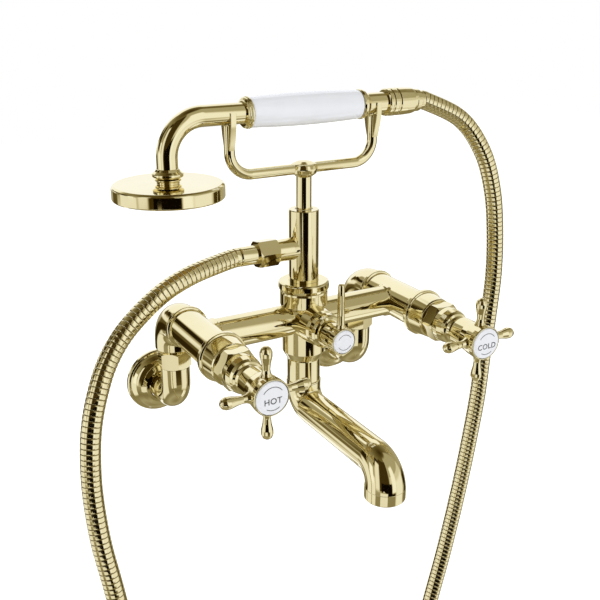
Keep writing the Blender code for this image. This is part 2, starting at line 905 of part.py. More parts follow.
# The hose's way from the column's outlet, down round the loop and up to the handset,
# as (x, forward, rise) in mm from the middle of the bridge
HOSE_ROUTE = [
    (-56.5, 0, 58.8),
    (-60.5, 0, 58.7),
    (-74, 2, 57.1),
    (-98, 7, 53.6),
    (-120, 11, 46.4),
    (-139, 14, 35),
    (-156, 18, 21.6),
    (-169, 22, 5.6),
    (-178, 26, -12),
    (-184.5, 29, -31),
    (-188.6, 32, -51.7),
    (-191, 36, -82),
    (-190.4, 43, -117.7),
    (-186.5, 50, -153),
    (-180, 57, -205),
    (-169, 62, -262),
    (-153, 65, -322),
    (-130, 66, -380),
    (-97, 64, -434),
    (-55, 60, -474),
    (-7, 54, -489),
    (38, 47.5, -474),
    (75, 40, -436),
    (101, 33.5, -387),
    (118, 29, -347),
    (129.6, 25.4, -312),
    (143, 22.4, -271),
    (154, 20.7, -228),
    (162.5, 20, -186),
    (169.1, 20, -144),
    (174.4, 20, -103),
    (177.9, 19, -62),
    (181.8, 18, -23),
    (184.5, 17, 13),
    (182.8, 16, 51),
    (177.1, 15, 87),
    (165.7, 12, 120),
    (144.5, 6, 148),
    (109, 0, 165),
    (104.1, 0, 165),
]


def shower_hose():
    route = [at(*place) for place in HOSE_ROUTE]
    line = [route[0]] + smooth_line(route[1:-1], HOSE_R * 2.75 * MM) + [route[-1]]
    finish(tube(line, HOSE_R, 8), "shower_hose", HOSE)


clear_scene()
PARTS = bpy.data.collections.new("bath_shower_mixer")
bpy.context.scene.collection.children.link(PARTS)

GOLD = make_material("polished_gold", (0.83, 0.62, 0.27), 0.12, 1.0)
BRASS = make_material("machined_brass", (0.72, 0.55, 0.26), 0.35, 1.0)
STEEL = make_material("stainless_steel", (0.62, 0.62, 0.62), 0.3, 1.0)
PORCELAIN = make_material("glazed_porcelain", (0.93, 0.93, 0.93), 0.08, 0.0)
CERAMIC_DISC = make_material("ceramic_disc", (0.88, 0.86, 0.8), 0.2, 0.0)
RUBBER = make_material("seal_rubber", (0.03, 0.03, 0.03), 0.7, 0.0)
FIBRE = make_material("washer_fibre", (0.5, 0.12, 0.08), 0.8, 0.0)
NYLON = make_material("white_nylon", (0.85, 0.85, 0.82), 0.45, 0.0)
HOSE = make_material("gold_hose", (0.8, 0.6, 0.27), 0.22, 1.0)

mixer_body()
for valve_name, valve_side in (("hot", -1), ("cold", 1)):
    wall_union(valve_name, valve_side)
    valve_head(valve_name, valve_side)
diverter()
riser_column()
hose_outlet()
spout_collar()
spout()
cradle()
shower_head()
handset_pipe()
handset_grip()
handset_tail()
shower_hose()
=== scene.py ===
"""Looks of the wall mounted bath and shower mixer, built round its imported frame.

Lengths in the helpers are millimetres, counted from the middle of the bridge:
x to the right, forward into the room, rise upwards.
"""

import json
import math

import bmesh
import bpy
import numpy as np
from mathutils import Matrix, Vector


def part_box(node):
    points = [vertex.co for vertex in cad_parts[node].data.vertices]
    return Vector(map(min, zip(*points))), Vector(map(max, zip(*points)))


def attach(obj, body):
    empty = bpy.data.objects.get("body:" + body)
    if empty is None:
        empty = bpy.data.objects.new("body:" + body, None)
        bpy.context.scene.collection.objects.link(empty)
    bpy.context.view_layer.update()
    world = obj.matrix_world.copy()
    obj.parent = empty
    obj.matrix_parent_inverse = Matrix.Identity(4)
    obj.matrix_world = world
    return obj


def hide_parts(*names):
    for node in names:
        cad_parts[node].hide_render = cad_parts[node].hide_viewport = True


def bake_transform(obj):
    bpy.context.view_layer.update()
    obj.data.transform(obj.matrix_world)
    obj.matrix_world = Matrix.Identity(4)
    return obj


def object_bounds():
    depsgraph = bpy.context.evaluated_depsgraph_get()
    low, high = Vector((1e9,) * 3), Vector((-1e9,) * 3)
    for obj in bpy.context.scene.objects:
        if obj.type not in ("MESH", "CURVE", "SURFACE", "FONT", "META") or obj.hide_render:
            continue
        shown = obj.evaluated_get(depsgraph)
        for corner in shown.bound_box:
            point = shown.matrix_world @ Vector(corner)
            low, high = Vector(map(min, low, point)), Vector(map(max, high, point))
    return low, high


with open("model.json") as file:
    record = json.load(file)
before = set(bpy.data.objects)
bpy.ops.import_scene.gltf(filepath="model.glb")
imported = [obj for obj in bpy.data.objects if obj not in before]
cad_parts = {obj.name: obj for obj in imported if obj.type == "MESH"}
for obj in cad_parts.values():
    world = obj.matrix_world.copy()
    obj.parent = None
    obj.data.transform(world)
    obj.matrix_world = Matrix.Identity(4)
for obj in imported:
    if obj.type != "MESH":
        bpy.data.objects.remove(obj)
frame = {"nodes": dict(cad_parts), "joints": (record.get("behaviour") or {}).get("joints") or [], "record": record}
CAD_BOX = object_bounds()

MM = 0.001
# How many sides round meshes have
HEAD_SIDES = 192
FINE = 144
MEDIUM = 72
THIN = 48
HOSE_SIDES = 36
NOZZLE_SIDES = 14
# Edges sharper than this many degrees stay crisp
SHARP_ANGLE = 42
HOSE_SHARP_ANGLE = 60
# How much more large faces count than small ones in shading
FACE_WEIGHT = 60
# The most of an edge that the rounding of one corner may take
EDGE_SHARE = 0.48
# Vertices closer than this many metres become one
WELD_GAP = 1e-6

RIGHT = Vector((1, 0, 0))
LEFT = Vector((-1, 0, 0))
FORWARD = Vector((0, -1, 0))
BACKWARD = Vector((0, 1, 0))
UP = Vector((0, 0, 1))
DOWN = Vector((0, 0, -1))


def joint_place(name):
    for joint in frame["joints"]:
        if joint["name"] == name:
            return Vector(joint["pos_m"])
    raise KeyError(name)


def middle(node):
    low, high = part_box(node)
    return (low + high) / 2


CENTRE = joint_place("spout_swivel")
VALVE_X = joint_place("cold_turn").x / MM
WALL = -CENTRE.y / MM
INLET_DROP = CENTRE.z / MM
HANDLE_RISE = (middle("ceramic_sleeve").z - CENTRE.z) / MM
HEAD_X = middle("shower_head").x / MM


def at(x, forward, rise):
    return CENTRE + Vector((x, -forward, rise)) * MM


# ---------------------------------------------------------------- mesh helpers


def link(name, mesh):
    piece = bpy.data.objects.new(name, mesh)
    bpy.context.scene.collection.objects.link(piece)
    return piece


def weld(mesh):
    """Join the vertices of a mesh that lie on each other."""
    work = bmesh.new()
    work.from_mesh(mesh)
    bmesh.ops.remove_doubles(work, verts=work.verts, dist=WELD_GAP)
    work.to_mesh(mesh)
    work.free()


def mesh_of(name, data):
    """Mesh of a curve or a text."""
    shape = bpy.data.objects.new(name, data)
    bpy.context.scene.collection.objects.link(shape)
    graph = bpy.context.evaluated_depsgraph_get()
    mesh = bpy.data.meshes.new_from_object(shape.evaluated_get(graph))
    bpy.data.objects.remove(shape)
    return mesh


def to_data(name, work):
    """Mesh data of a finished bmesh, with its faces turned outwards."""
    bmesh.ops.recalc_face_normals(work, faces=work.faces)
    data = bpy.data.meshes.new(name)
    work.to_mesh(data)
    work.free()
    return data


def polish(piece, sharp=SHARP_ANGLE):
    """Smooth shading that keeps flats flat and true edges crisp."""
    piece.data.shade_smooth()
    piece.data.set_sharp_from_angle(angle=math.radians(sharp))
    weighted = piece.modifiers.new("even_normals", "WEIGHTED_NORMAL")
    weighted.keep_sharp = True
    weighted.weight = FACE_WEIGHT
    return piece


def fillet(profile, steps=4):
    """Rounds each corner of a profile that is given as (radius, height, rounding)."""
    outline = []
    last = len(profile) - 1
    for number, corner in enumerate(profile):
        rounding = corner[2] if len(corner) > 2 else 0
        point = Vector(corner[:2])
        if rounding == 0 or number in (0, last):
            outline.append(point)
            continue
        before = Vector(profile[number - 1][:2]) - point
        after = Vector(profile[number + 1][:2]) - point
        half = before.angle(after) / 2
        room = EDGE_SHARE * min(before.length, after.length)
        reach = min(rounding / math.tan(half), room)
        start = point + before.normalized() * reach
        end = point + after.normalized() * reach
        for step in range(steps + 1):
            t = step / steps
            outline.append(start * (1 - t) ** 2 + point * 2 * t * (1 - t) + end * t * t)
    return outline


def lathe(profile, segments, steps=4):
    """Closed mesh of a profile turned round Z: solid where it meets the axis, else a ring."""
    outline = fillet(profile, steps)
    mesh = bmesh.new()
    rings = []
    for radius, height in outline:
        if radius == 0:
            rings.append([mesh.verts.new((0, 0, height * MM))])
            continue
        ring = []
        for step in range(segments):
            angle = math.tau * step / segments
            place = (radius * math.cos(angle), radius * math.sin(angle), height)
            ring.append(mesh.verts.new(Vector(place) * MM))
        rings.append(ring)
    if len(rings[0]) > 1:
        rings.append(rings[0])
    for upper, lower in zip(rings, rings[1:]):
        for step in range(segments):
            after = (step + 1) % segments
            corners = [upper[step % len(upper)], lower[step % len(lower)]]
            corners += [lower[after % len(lower)], upper[after % len(upper)]]
            kept = list(dict.fromkeys(corners))
            if len(kept) > 2:
                mesh.faces.new(kept)
    return to_data("turned", mesh)


def facing(place, direction):
    """Transform that stands Z along a direction at a place."""
    turn = direction.to_track_quat("Z", "Y").to_matrix().to_4x4()
    return Matrix.Translation(place) @ turn


def turned(name, profile, place, direction, segments=FINE, steps=4):
    """Piece turned round the line that leaves a place in a direction."""
    piece = link(name, lathe(profile, segments, steps))
    piece.data.transform(facing(place, direction))
    return piece


def rod(name, radius, low, high, place, direction, segments=FINE):
    profile = [(0, high), (radius, high), (radius, low), (0, low)]
    return turned(name, profile, place, direction, segments)


def bend(corner, start, end, radius, steps=16):
    """Points in metres of a quarter bend that rounds a corner between two directions."""
    centre = corner + (end - start) * radius * MM
    turn = [math.pi / 2 * step / steps for step in range(steps + 1)]
    return [centre + (start * math.sin(a) - end * math.cos(a)) * radius * MM for a in turn]


def sweep_mesh(points, radii, segments):
    """Closed tube mesh along points in metres, with a radius in mm at each point."""
    mesh = bmesh.new()
    rings = []
    side = None
    for number, place in enumerate(points):
        before = points[max(number - 1, 0)]
        after = points[min(number + 1, len(points) - 1)]
        along = (after - before).normalized()
        if side is None:
            side = along.orthogonal().normalized()
        side = (side - along * side.dot(along)).normalized()
        other = along.cross(side)
        radius = radii[number] * MM
        ring = []
        for step in range(segments):
            angle = math.tau * step / segments
            spot = place + (side * math.cos(angle) + other * math.sin(angle)) * radius
            ring.append(mesh.verts.new(spot))
        rings.append(ring)
    for first, second in zip(rings, rings[1:]):
        for step in range(segments):
            after = (step + 1) % segments
            mesh.faces.new((first[step], first[after], second[after], second[step]))
    mesh.faces.new(list(reversed(rings[0])))
    mesh.faces.new(rings[-1])
    return to_data("swept", mesh)


def swept(name, points, radius, segments=FINE):
    """Round piece along points, with one radius in mm or a list of them."""
    radii = radius if isinstance(radius, list) else [radius] * len(points)
    return link(name, sweep_mesh(points, radii, segments))


def bake(piece):
    """Apply a piece's modifiers."""
    graph = bpy.context.evaluated_depsgraph_get()
    graph.update()
    mesh = bpy.data.meshes.new_from_object(piece.evaluated_get(graph))
    piece.modifiers.clear()
    piece.data = mesh
    weld(mesh)


def combine(base, others, operation="UNION"):
    """Join the other pieces to the base, or cut it with them; they are used up."""
    for other in others:
        boolean = base.modifiers.new(operation, "BOOLEAN")
        boolean.operation = operation
        boolean.solver = "EXACT"
        boolean.object = other
        bake(base)
        bpy.data.objects.remove(other)


def hex_nut(name, flats, low, high, place, direction, turn=0.0, chamfer=1.6):
    """Hexagon nut, flats mm across, whose corners are cut back by cones as on a lathe."""
    corner = flats / 2 / math.cos(math.pi / 6)
    prism = lathe([(0, high), (corner, high), (corner, low), (0, low)], 6)
    prism.transform(Matrix.Rotation(math.radians(turn), 4, "Z"))
    nut = link(name, prism)
    face = flats / 2 + 0.2
    clear = corner + 0.1
    cone = [(0, high), (face, high), (clear, high - chamfer)]
    cone += [(clear, low + chamfer), (face, low), (0, low)]
    combine(nut, [link("cone", lathe(cone, FINE))], "INTERSECT")
    nut.data.transform(facing(place, direction))
    edges = nut.modifiers.new("edges", "BEVEL")
    edges.width = 0.25 * MM
    edges.segments = 3
    edges.limit_method = "ANGLE"
    edges.angle_limit = math.radians(30)
    return nut


# ---------------------------------------------------------------- materials


def start_material(name):
    material = bpy.data.materials.new(name)
    material.use_nodes = True
    nodes = material.node_tree.nodes
    return material, nodes, material.node_tree.links, nodes["Principled BSDF"]


def noise(nodes, links, scale, detail):
    """Noise in the object's own metres: scale is how many spots there are to a metre."""
    place = nodes.new("ShaderNodeTexCoord")
    texture = nodes.new("ShaderNodeTexNoise")
    texture.inputs["Scale"].default_value = scale
    texture.inputs["Detail"].default_value = detail
    links.new(place.outputs["Object"], texture.inputs["Vector"])
    return texture.outputs["Fac"]


def ramp(nodes, links, source, low, high, start=0.35, end=0.65):
    """Colour ramp between two colours."""
    blend = nodes.new("ShaderNodeValToRGB")
    blend.color_ramp.elements[0].position = start
    blend.color_ramp.elements[0].color = (*low, 1)
    blend.color_ramp.elements[1].position = end
    blend.color_ramp.elements[1].color = (*high, 1)
    links.new(source, blend.inputs["Fac"])
    return blend.outputs["Color"]


def spread(nodes, links, source, low, high):
    """Maps a 0 to 1 value onto low to high."""
    change = nodes.new("ShaderNodeMapRange")
    change.inputs["To Min"].default_value = low
    change.inputs["To Max"].default_value = high
    links.new(source, change.inputs["Value"])
    return change.outputs["Result"]


def bump(nodes, links, shader, source, height, strength=0.5):
    """Fine relief, height in mm."""
    relief = nodes.new("ShaderNodeBump")
    relief.inputs["Distance"].default_value = height * MM
    relief.inputs["Strength"].default_value = strength
    links.new(source, relief.inputs["Height"])
    links.new(relief.outputs["Normal"], shader.inputs["Normal"])


def metal(name, low, high, smooth, rough, relief):
    """Metal: faint changes of tone and gloss over a soft orange peel."""
    material, nodes, links, shader = start_material(name)
    shader.inputs["Metallic"].default_value = 1.0
    tone = noise(nodes, links, 26.0, 3.0)
    links.new(ramp(nodes, links, tone, low, high), shader.inputs["Base Color"])
    wear = noise(nodes, links, 140.0, 6.0)
    links.new(spread(nodes, links, wear, smooth, rough), shader.inputs["Roughness"])
    bump(nodes, links, shader, noise(nodes, links, 900.0, 2.0), relief)
    return material


def porcelain(name):
    """White glaze with a faint change of tone under a clear gloss."""
    material, nodes, links, shader = start_material(name)
    tone = noise(nodes, links, 60.0, 5.0)
    white = ramp(nodes, links, tone, (0.70, 0.71, 0.74), (0.72, 0.73, 0.76))
    links.new(white, shader.inputs["Base Color"])
    pores = noise(nodes, links, 420.0, 3.0)
    links.new(spread(nodes, links, pores, 0.06, 0.16), shader.inputs["Roughness"])
    shader.inputs["Coat Weight"].default_value = 0.6
    shader.inputs["Coat Roughness"].default_value = 0.04
    shader.inputs["Subsurface Weight"].default_value = 0.08
    shader.inputs["Subsurface Radius"].default_value = (0.002, 0.002, 0.002)
    bump(nodes, links, shader, noise(nodes, links, 90.0, 2.0), 0.02, 0.4)
    return material


def hose_metal(name):
    """Gold strip whose grooves, marked on the mesh, are coloured dark brown as painted shade."""
    material, nodes, links, shader = start_material(name)
    shader.inputs["Metallic"].default_value = 1.0
    groove = nodes.new("ShaderNodeAttribute")
    groove.attribute_name = "crest"
    # Painted shade: the colour runs from dark brown in the grooves to pale gold on the crests
    tone = ramp(nodes, links, groove.outputs["Fac"], PAINTED_GROOVE_SHADE, PALE_GOLD, 0.0, 0.75)
    links.new(tone, shader.inputs["Base Color"])
    wear = noise(nodes, links, 200.0, 4.0)
    links.new(spread(nodes, links, wear, 0.05, 0.13), shader.inputs["Roughness"])
    bump(nodes, links, shader, noise(nodes, links, 1200.0, 2.0), 0.003)
    return material


def matt(name, low, high, smooth, rough):
    """Plastic, rubber, fibre, bare ceramic or ink: speckled tone with a fine grain."""
    material, nodes, links, shader = start_material(name)
    tone = noise(nodes, links, 300.0, 5.0)
    links.new(ramp(nodes, links, tone, low, high), shader.inputs["Base Color"])
    links.new(spread(nodes, links, tone, smooth, rough), shader.inputs["Roughness"])
    bump(nodes, links, shader, noise(nodes, links, 1500.0, 3.0), 0.02)
    return material


PALE_GOLD = (0.84, 0.755, 0.46)
# Painted shade: the dark brown that the hose's grooves are coloured with
PAINTED_GROOVE_SHADE = (0.16, 0.10, 0.03)
GOLD = metal("polished_gold", PALE_GOLD, (0.87, 0.785, 0.49), 0.03, 0.07, 0.002)
BRASS = metal("machined_brass", (0.62, 0.47, 0.22), (0.72, 0.56, 0.28), 0.22, 0.38, 0.02)
STEEL = metal("stainless_steel", (0.52, 0.52, 0.52), (0.62, 0.62, 0.62), 0.2, 0.34, 0.01)
HOSE_METAL = hose_metal("gold_hose")
PORCELAIN = porcelain("glazed_porcelain")
CERAMIC = matt("ceramic_disc", (0.80, 0.77, 0.70), (0.88, 0.86, 0.80), 0.2, 0.35)
RUBBER = matt("seal_rubber", (0.02, 0.02, 0.02), (0.05, 0.05, 0.05), 0.55, 0.8)
FIBRE = matt("washer_fibre", (0.38, 0.08, 0.05), (0.55, 0.14, 0.09), 0.7, 0.9)
NYLON = matt("white_nylon", (0.78, 0.78, 0.75), (0.87, 0.87, 0.84), 0.35, 0.5)
INK = matt("index_ink", (0.05, 0.05, 0.055), (0.09, 0.09, 0.095), 0.3, 0.45)
SLOT_MATERIAL = {
    "polished_gold": GOLD,
    "machined_brass": BRASS,
    "stainless_steel": STEEL,
    "gold_hose": HOSE_METAL,
    "glazed_porcelain": PORCELAIN,
    "ceramic_disc": CERAMIC,
    "seal_rubber": RUBBER,
    "washer_fibre": FIBRE,
    "white_nylon": NYLON,
}


def dress(piece, body, node, slot="polished_gold"):
    """Finish a piece: material, shading, the body that it rides on and the node it stands for."""
    piece.data.materials.clear()
    piece.data.materials.append(SLOT_MATERIAL[slot])
    polish(piece)
    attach(piece, body)
    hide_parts(node)


def dress_frame():
    """Every carried-over node gets the full material of its slot."""
    slots = {part["node"]: part["material_slot"] for part in frame["record"]["subparts"]}
    for name, node in frame["nodes"].items():
        node.data.materials.clear()
        node.data.materials.append(SLOT_MATERIAL[slots[name]])


# ---------------------------------------------------------------- camera, light and stage


def set_tones():
    """Plain tone curve, so that white stays white."""
    view = bpy.context.scene.view_settings
    view.view_transform = "Standard"
    view.look = "None"


CAMERA_PLACE = (-0.31735, -0.65028, 0.32180)
CAMERA_TILT = 69.87
CAMERA_TURN = -29.84
LENS = 50.59
SENSOR = 36.0


def add_camera():
    """Camera fitted to the valves, bridge, column, cradle and shower head of the photo."""
    data = bpy.data.cameras.new("camera")
    data.sensor_width = SENSOR
    data.lens = LENS
    data.clip_start = 0.01
    camera = bpy.data.objects.new("camera", data)
    bpy.context.scene.collection.objects.link(camera)
    camera.location = CAMERA_PLACE
    camera.rotation_euler = (math.radians(CAMERA_TILT), 0, math.radians(CAMERA_TURN))
    bpy.context.scene.camera = camera


LIGHT_PLACE = (-1.6, -1.8, 2.4)
LIGHT_SIZE = 1.6
LIGHT_POWER = 12


def add_light():
    """Soft square light from the upper left that the metal doesn't mirror."""
    data = bpy.data.lights.new("key", "AREA")
    data.size = LIGHT_SIZE
    data.energy = LIGHT_POWER
    light = bpy.data.objects.new("key", data)
    bpy.context.scene.collection.objects.link(light)
    light.location = LIGHT_PLACE
    light.visible_glossy = False
    light.rotation_euler = (-Vector(LIGHT_PLACE)).to_track_quat("-Z", "Y").to_euler()


# Bright cards and dark flags round the object, later ones in front, in degrees: the middle and
# half width counted from +X towards +Y, the lower and upper edge, softness, brightness.
# A fit to how bright the photo's gold is where it mirrors each direction gave most of them.
CARDS = [
    (304, 49, 21, 73, 10, 0.46),
    (309, 44, -3, 22, 2, 0.68),
    (211, 33, 28, 54, 7, 0.03),
    (230, 30, -15, 62, 2, 0.12),
    (267, 26, -26, 4, 6, 0.02),
    (245, 27, -17, 4, 2, 0.02),
    (230, 4, -17, -14, 2, 0.7),
    (74, 36, -5, 53, 6, 1.01),
    (143, 10, 4, 41, 10, 0.07),
    (117, 14, -27, -5, 6, 0.21),
    (154, 28, -45, 1, 6, 0.88),
    (168, 7, -12, 18, 3, 1.01),
    (196, 11, -16, 46, 8, 0.86),
    (231, 20, -35, -19, 2, 0.84),
    (287, 12, -20, 44, 7, 0.97),
    (322, 24, -42, 6, 12, 0.90),
    (94, 18, -44, -38, 2, 1.08),
    (118, 12, 12, 22, 4, 0.06),
    (106, 8, 3, 16, 5, 0.16),
    (1, 11, -19, -5, 5, 0.13),
    (334, 16, -64, -44, 7, 1.01),
    (116, 8, -5, 7, 6, 0.91),
    (130, 7, -13, 1, 5, 0.28),
    (9, 9, -32, -13, 5, 0.05),
    (117, 7, -40, -22, 5, 0.76),
    (111, 12, -30, -15, 5, 0.08),
]
# Brightness of the bare studio from straight down to straight up
STUDIO_LEVELS = [
    (0.0, 0.36), (0.14, 0.45), (0.25, 0.33), (0.45, 0.47),
    (0.70, 0.42), (0.86, 0.26), (1.0, 0.10),
]
# Tint of the studio by its brightness, as a share of CARD_PEAK: chosen so that the gold runs
# from brown to near white as in the photo, so the render's gold isn't the material's alone
STUDIO_TINTS = [
    (0.03, (0.004, 0.002, 0.0003)),
    (0.12, (0.055, 0.034, 0.006)),
    (0.235, (0.145, 0.113, 0.040)),
    (0.35, (0.29, 0.255, 0.145)),
    (0.455, (0.50, 0.465, 0.345)),
    (0.67, (0.77, 0.745, 0.66)),
    (0.93, (1.08, 1.10, 1.16)),
    (1.0, (1.14, 1.17, 1.26)),
]
CARD_PEAK = 1.08
FULL_TURN = 360.0


def math_node(nodes, links, operation, first, second=None):
    """Result of a Math node on sockets or plain numbers."""
    node = nodes.new("ShaderNodeMath")
    node.operation = operation
    for socket, value in zip(node.inputs, (first, second)):
        if value is None:
            continue
        if isinstance(value, float):
            socket.default_value = value
        else:
            links.new(value, socket)
    return node.outputs["Value"]


def fade(nodes, links, source, outer, inner):
    """1 inside inner, 0 outside outer, with a smooth edge between the two."""
    node = nodes.new("ShaderNodeMapRange")
    node.interpolation_type = "SMOOTHSTEP"
    node.inputs["From Min"].default_value = outer
    node.inputs["From Max"].default_value = inner
    links.new(source, node.inputs["Value"])
    return node.outputs["Result"]


def colour_ramp(nodes, stops):
    """Colour Ramp node through (position, grey level or colour) stops."""
    node = nodes.new("ShaderNodeValToRGB")
    elements = node.color_ramp.elements
    elements.remove(elements[-1])
    for number, (position, colour) in enumerate(stops):
        element = elements[0] if number == 0 else elements.new(position)
        element.position = position
        element.color = (*colour, 1) if isinstance(colour, tuple) else (colour, colour, colour, 1)
    return node


def add_world():
    """White surround, and the studio of cards and flags that only glossy rays see."""
    world = bpy.data.worlds.new("studio")
    world.use_nodes = True
    bpy.context.scene.world = world
    nodes = world.node_tree.nodes
    links = world.node_tree.links
    nodes.clear()
    place = nodes.new("ShaderNodeTexCoord")
    parts = nodes.new("ShaderNodeSeparateXYZ")
    links.new(place.outputs["Generated"], parts.inputs["Vector"])
    compass = math_node(nodes, links, "ARCTAN2", parts.outputs["Y"], parts.outputs["X"])
    compass = math_node(nodes, links, "MULTIPLY", compass, math.degrees(1))
    height = math_node(nodes, links, "ARCSINE", parts.outputs["Z"])
    height = math_node(nodes, links, "MULTIPLY", height, math.degrees(1))
    level = nodes.new("ShaderNodeMapRange")
    level.inputs["From Min"].default_value = -90
    level.inputs["From Max"].default_value = 90
    links.new(height, level.inputs["Value"])
    levels = colour_ramp(nodes, STUDIO_LEVELS)
    links.new(level.outputs["Result"], levels.inputs["Fac"])
    brightness = levels.outputs["Color"]
    for middle_way, half, low, high, soft, value in CARDS:
        # Angle between the ray and the card's middle, wrapped into -180 to 180
        off = math_node(nodes, links, "SUBTRACT", compass, float(middle_way))
        off = math_node(nodes, links, "ADD", off, 2.5 * FULL_TURN)
        off = math_node(nodes, links, "MODULO", off, FULL_TURN)
        off = math_node(nodes, links, "SUBTRACT", off, FULL_TURN / 2)
        off = math_node(nodes, links, "ABSOLUTE", off)
        inside_width = fade(nodes, links, off, half + soft / 2, half - soft / 2)
        rise = math_node(nodes, links, "SUBTRACT", height, (low + high) / 2)
        rise = math_node(nodes, links, "ABSOLUTE", rise)
        tall = (high - low) / 2
        inside_height = fade(nodes, links, rise, tall + soft / 2, tall - soft / 2)
        mask = math_node(nodes, links, "MULTIPLY", inside_width, inside_height)
        mix = nodes.new("ShaderNodeMix")
        links.new(mask, mix.inputs["Factor"])
        links.new(brightness, mix.inputs["A"])
        mix.inputs["B"].default_value = value
        brightness = mix.outputs["Result"]
    share = math_node(nodes, links, "DIVIDE", brightness, CARD_PEAK)
    tints = colour_ramp(nodes, STUDIO_TINTS)
    links.new(share, tints.inputs["Fac"])
    mirror = nodes.new("ShaderNodeBackground")
    links.new(tints.outputs["Color"], mirror.inputs["Color"])
    plain = nodes.new("ShaderNodeBackground")
    plain.inputs["Color"].default_value = (1, 1, 1, 1)
    seen = nodes.new("ShaderNodeLightPath")
    choose = nodes.new("ShaderNodeMixShader")
    links.new(seen.outputs["Is Glossy Ray"], choose.inputs["Fac"])
    links.new(plain.outputs["Background"], choose.inputs[1])
    links.new(mirror.outputs["Background"], choose.inputs[2])
    output = nodes.new("ShaderNodeOutputWorld")
    links.new(choose.outputs["Shader"], output.inputs["Surface"])


FLOOR_REACH = 6.0
FLOOR_DROP = 0.35


def add_stage():
    """Plain pale floor, well below the hose's loop."""
    mesh = bpy.data.meshes.new("floor")
    level = CAD_BOX[0][2] - FLOOR_DROP
    signs = ((-1, -1), (1, -1), (1, 1), (-1, 1))
    corners = [(x * FLOOR_REACH, y * FLOOR_REACH, level) for x, y in signs]
    mesh.from_pydata(corners, [], [(0, 1, 2, 3)])
    floor = link("floor", mesh)
    material, nodes, links, shader = start_material("pale_floor")
    tone = noise(nodes, links, 1.5, 2.0)
    white = ramp(nodes, links, tone, (0.93, 0.93, 0.93), (0.95, 0.95, 0.95))
    links.new(white, shader.inputs["Base Color"])
    shader.inputs["Roughness"].default_value = 0.9
    shader.inputs["Emission Color"].default_value = (1, 1, 1, 1)
    shader.inputs["Emission Strength"].default_value = 0.35
    mesh.materials.append(material)
    floor.visible_glossy = False


# ---------------------------------------------------------------- the hose

HOSE_D = 14.5
HOSE_PITCH = 3.9
# Numbers of the points of HOSE_ROUTE where one length ends and the next one starts
HOSE_ENDS = (20, 30)
# The same points as the hose's in part.py
HOSE_ROUTE = [
    (-56.5, 0, 58.8), (-60.5, 0, 58.7), (-74, 2, 57.1), (-98, 7, 53.6),
    (-120, 11, 46.4), (-139, 14, 35), (-156, 18, 21.6), (-169, 22, 5.6),
    (-178, 26, -12), (-184.5, 29, -31), (-188.6, 32, -51.7), (-191, 36, -82),
    (-190.4, 43, -117.7), (-186.5, 50, -153), (-180, 57, -205), (-169, 62, -262),
    (-153, 65, -322), (-130, 66, -380), (-97, 64, -434), (-55, 60, -474),
    (-7, 54, -489), (38, 47.5, -474), (75, 40, -436), (101, 33.5, -387),
    (118, 29, -347), (129.6, 25.4, -312), (143, 22.4, -271), (154, 20.7, -228),
    (162.5, 20, -186), (169.1, 20, -144), (174.4, 20, -103), (177.9, 19, -62),
    (181.8, 18, -23), (184.5, 17, 13), (182.8, 16, 51), (177.1, 15, 87),
    (165.7, 12, 120), (144.5, 6, 148), (109, 0, 165), (104.1, 0, 165),
]


def smooth_line(route, per_span=24):
    """Dense points on a smooth curve through the route's own points."""
    dense = []
    for number in range(len(route) - 1):
        before = route[max(number - 1, 0)]
        start = route[number]
        end = route[number + 1]
        after = route[min(number + 2, len(route) - 1)]
        leave = (end - before) / 2
        arrive = (after - start) / 2
        for step in range(per_span):
            t = step / per_span
            dense.append(
                start * (2 * t**3 - 3 * t**2 + 1)
                + leave * (t**3 - 2 * t**2 + t)
                + end * (3 * t**2 - 2 * t**3)
                + arrive * (t**3 - t**2)
            )
    dense.append(route[-1])
    return dense


def distances(points):
    """Distance along a line from its start to each of its points."""
    steps = [(b - a).length for a, b in zip(points, points[1:])]
    return np.concatenate([[0], np.cumsum(steps)])


def points_at(points, shares):
    """Points on a line at shares of its length."""
    travelled = distances(points)
    targets = np.array(shares) * travelled[-1]
    spots = np.array(points, float)
    columns = [np.interp(targets, travelled, spots[:, axis]) for axis in range(3)]
    return [Vector(place) for place in zip(*columns)]


# One ring of the strip: how far along it, and how high between groove and crest
STRIP = [
    (0.0, 0.0), (0.03, 0.05), (0.07, 0.75), (0.12, 0.93), (0.25, 0.98),
    (0.5, 1.0), (0.75, 0.98), (0.88, 0.93), (0.93, 0.75), (0.97, 0.05),
]
STRIP_DEPTH = 0.42
HOSE_STEPS = 700


def wound_tube(name, line):
    """Tube that looks wound of metal strip: rounded rings with a groove between each two."""
    turns = round(distances(line)[-1] / (HOSE_PITCH * MM))
    shares = [(turn + share) / turns for turn in range(turns) for share, _ in STRIP] + [1.0]
    heights = [height for _ in range(turns) for _, height in STRIP] + [0.0]
    radii = [HOSE_D / 2 - STRIP_DEPTH * (1 - height) for height in heights]
    tube = swept(name, points_at(line, shares), radii, HOSE_SIDES)
    # Height between groove and crest, which the hose's material turns into painted shade in the grooves
    crest = tube.data.attributes.new("crest", "FLOAT", "POINT")
    crest.data.foreach_set("value", np.repeat(np.array(heights, np.float32), HOSE_SIDES))
    return polish(tube, HOSE_SHARP_ANGLE)


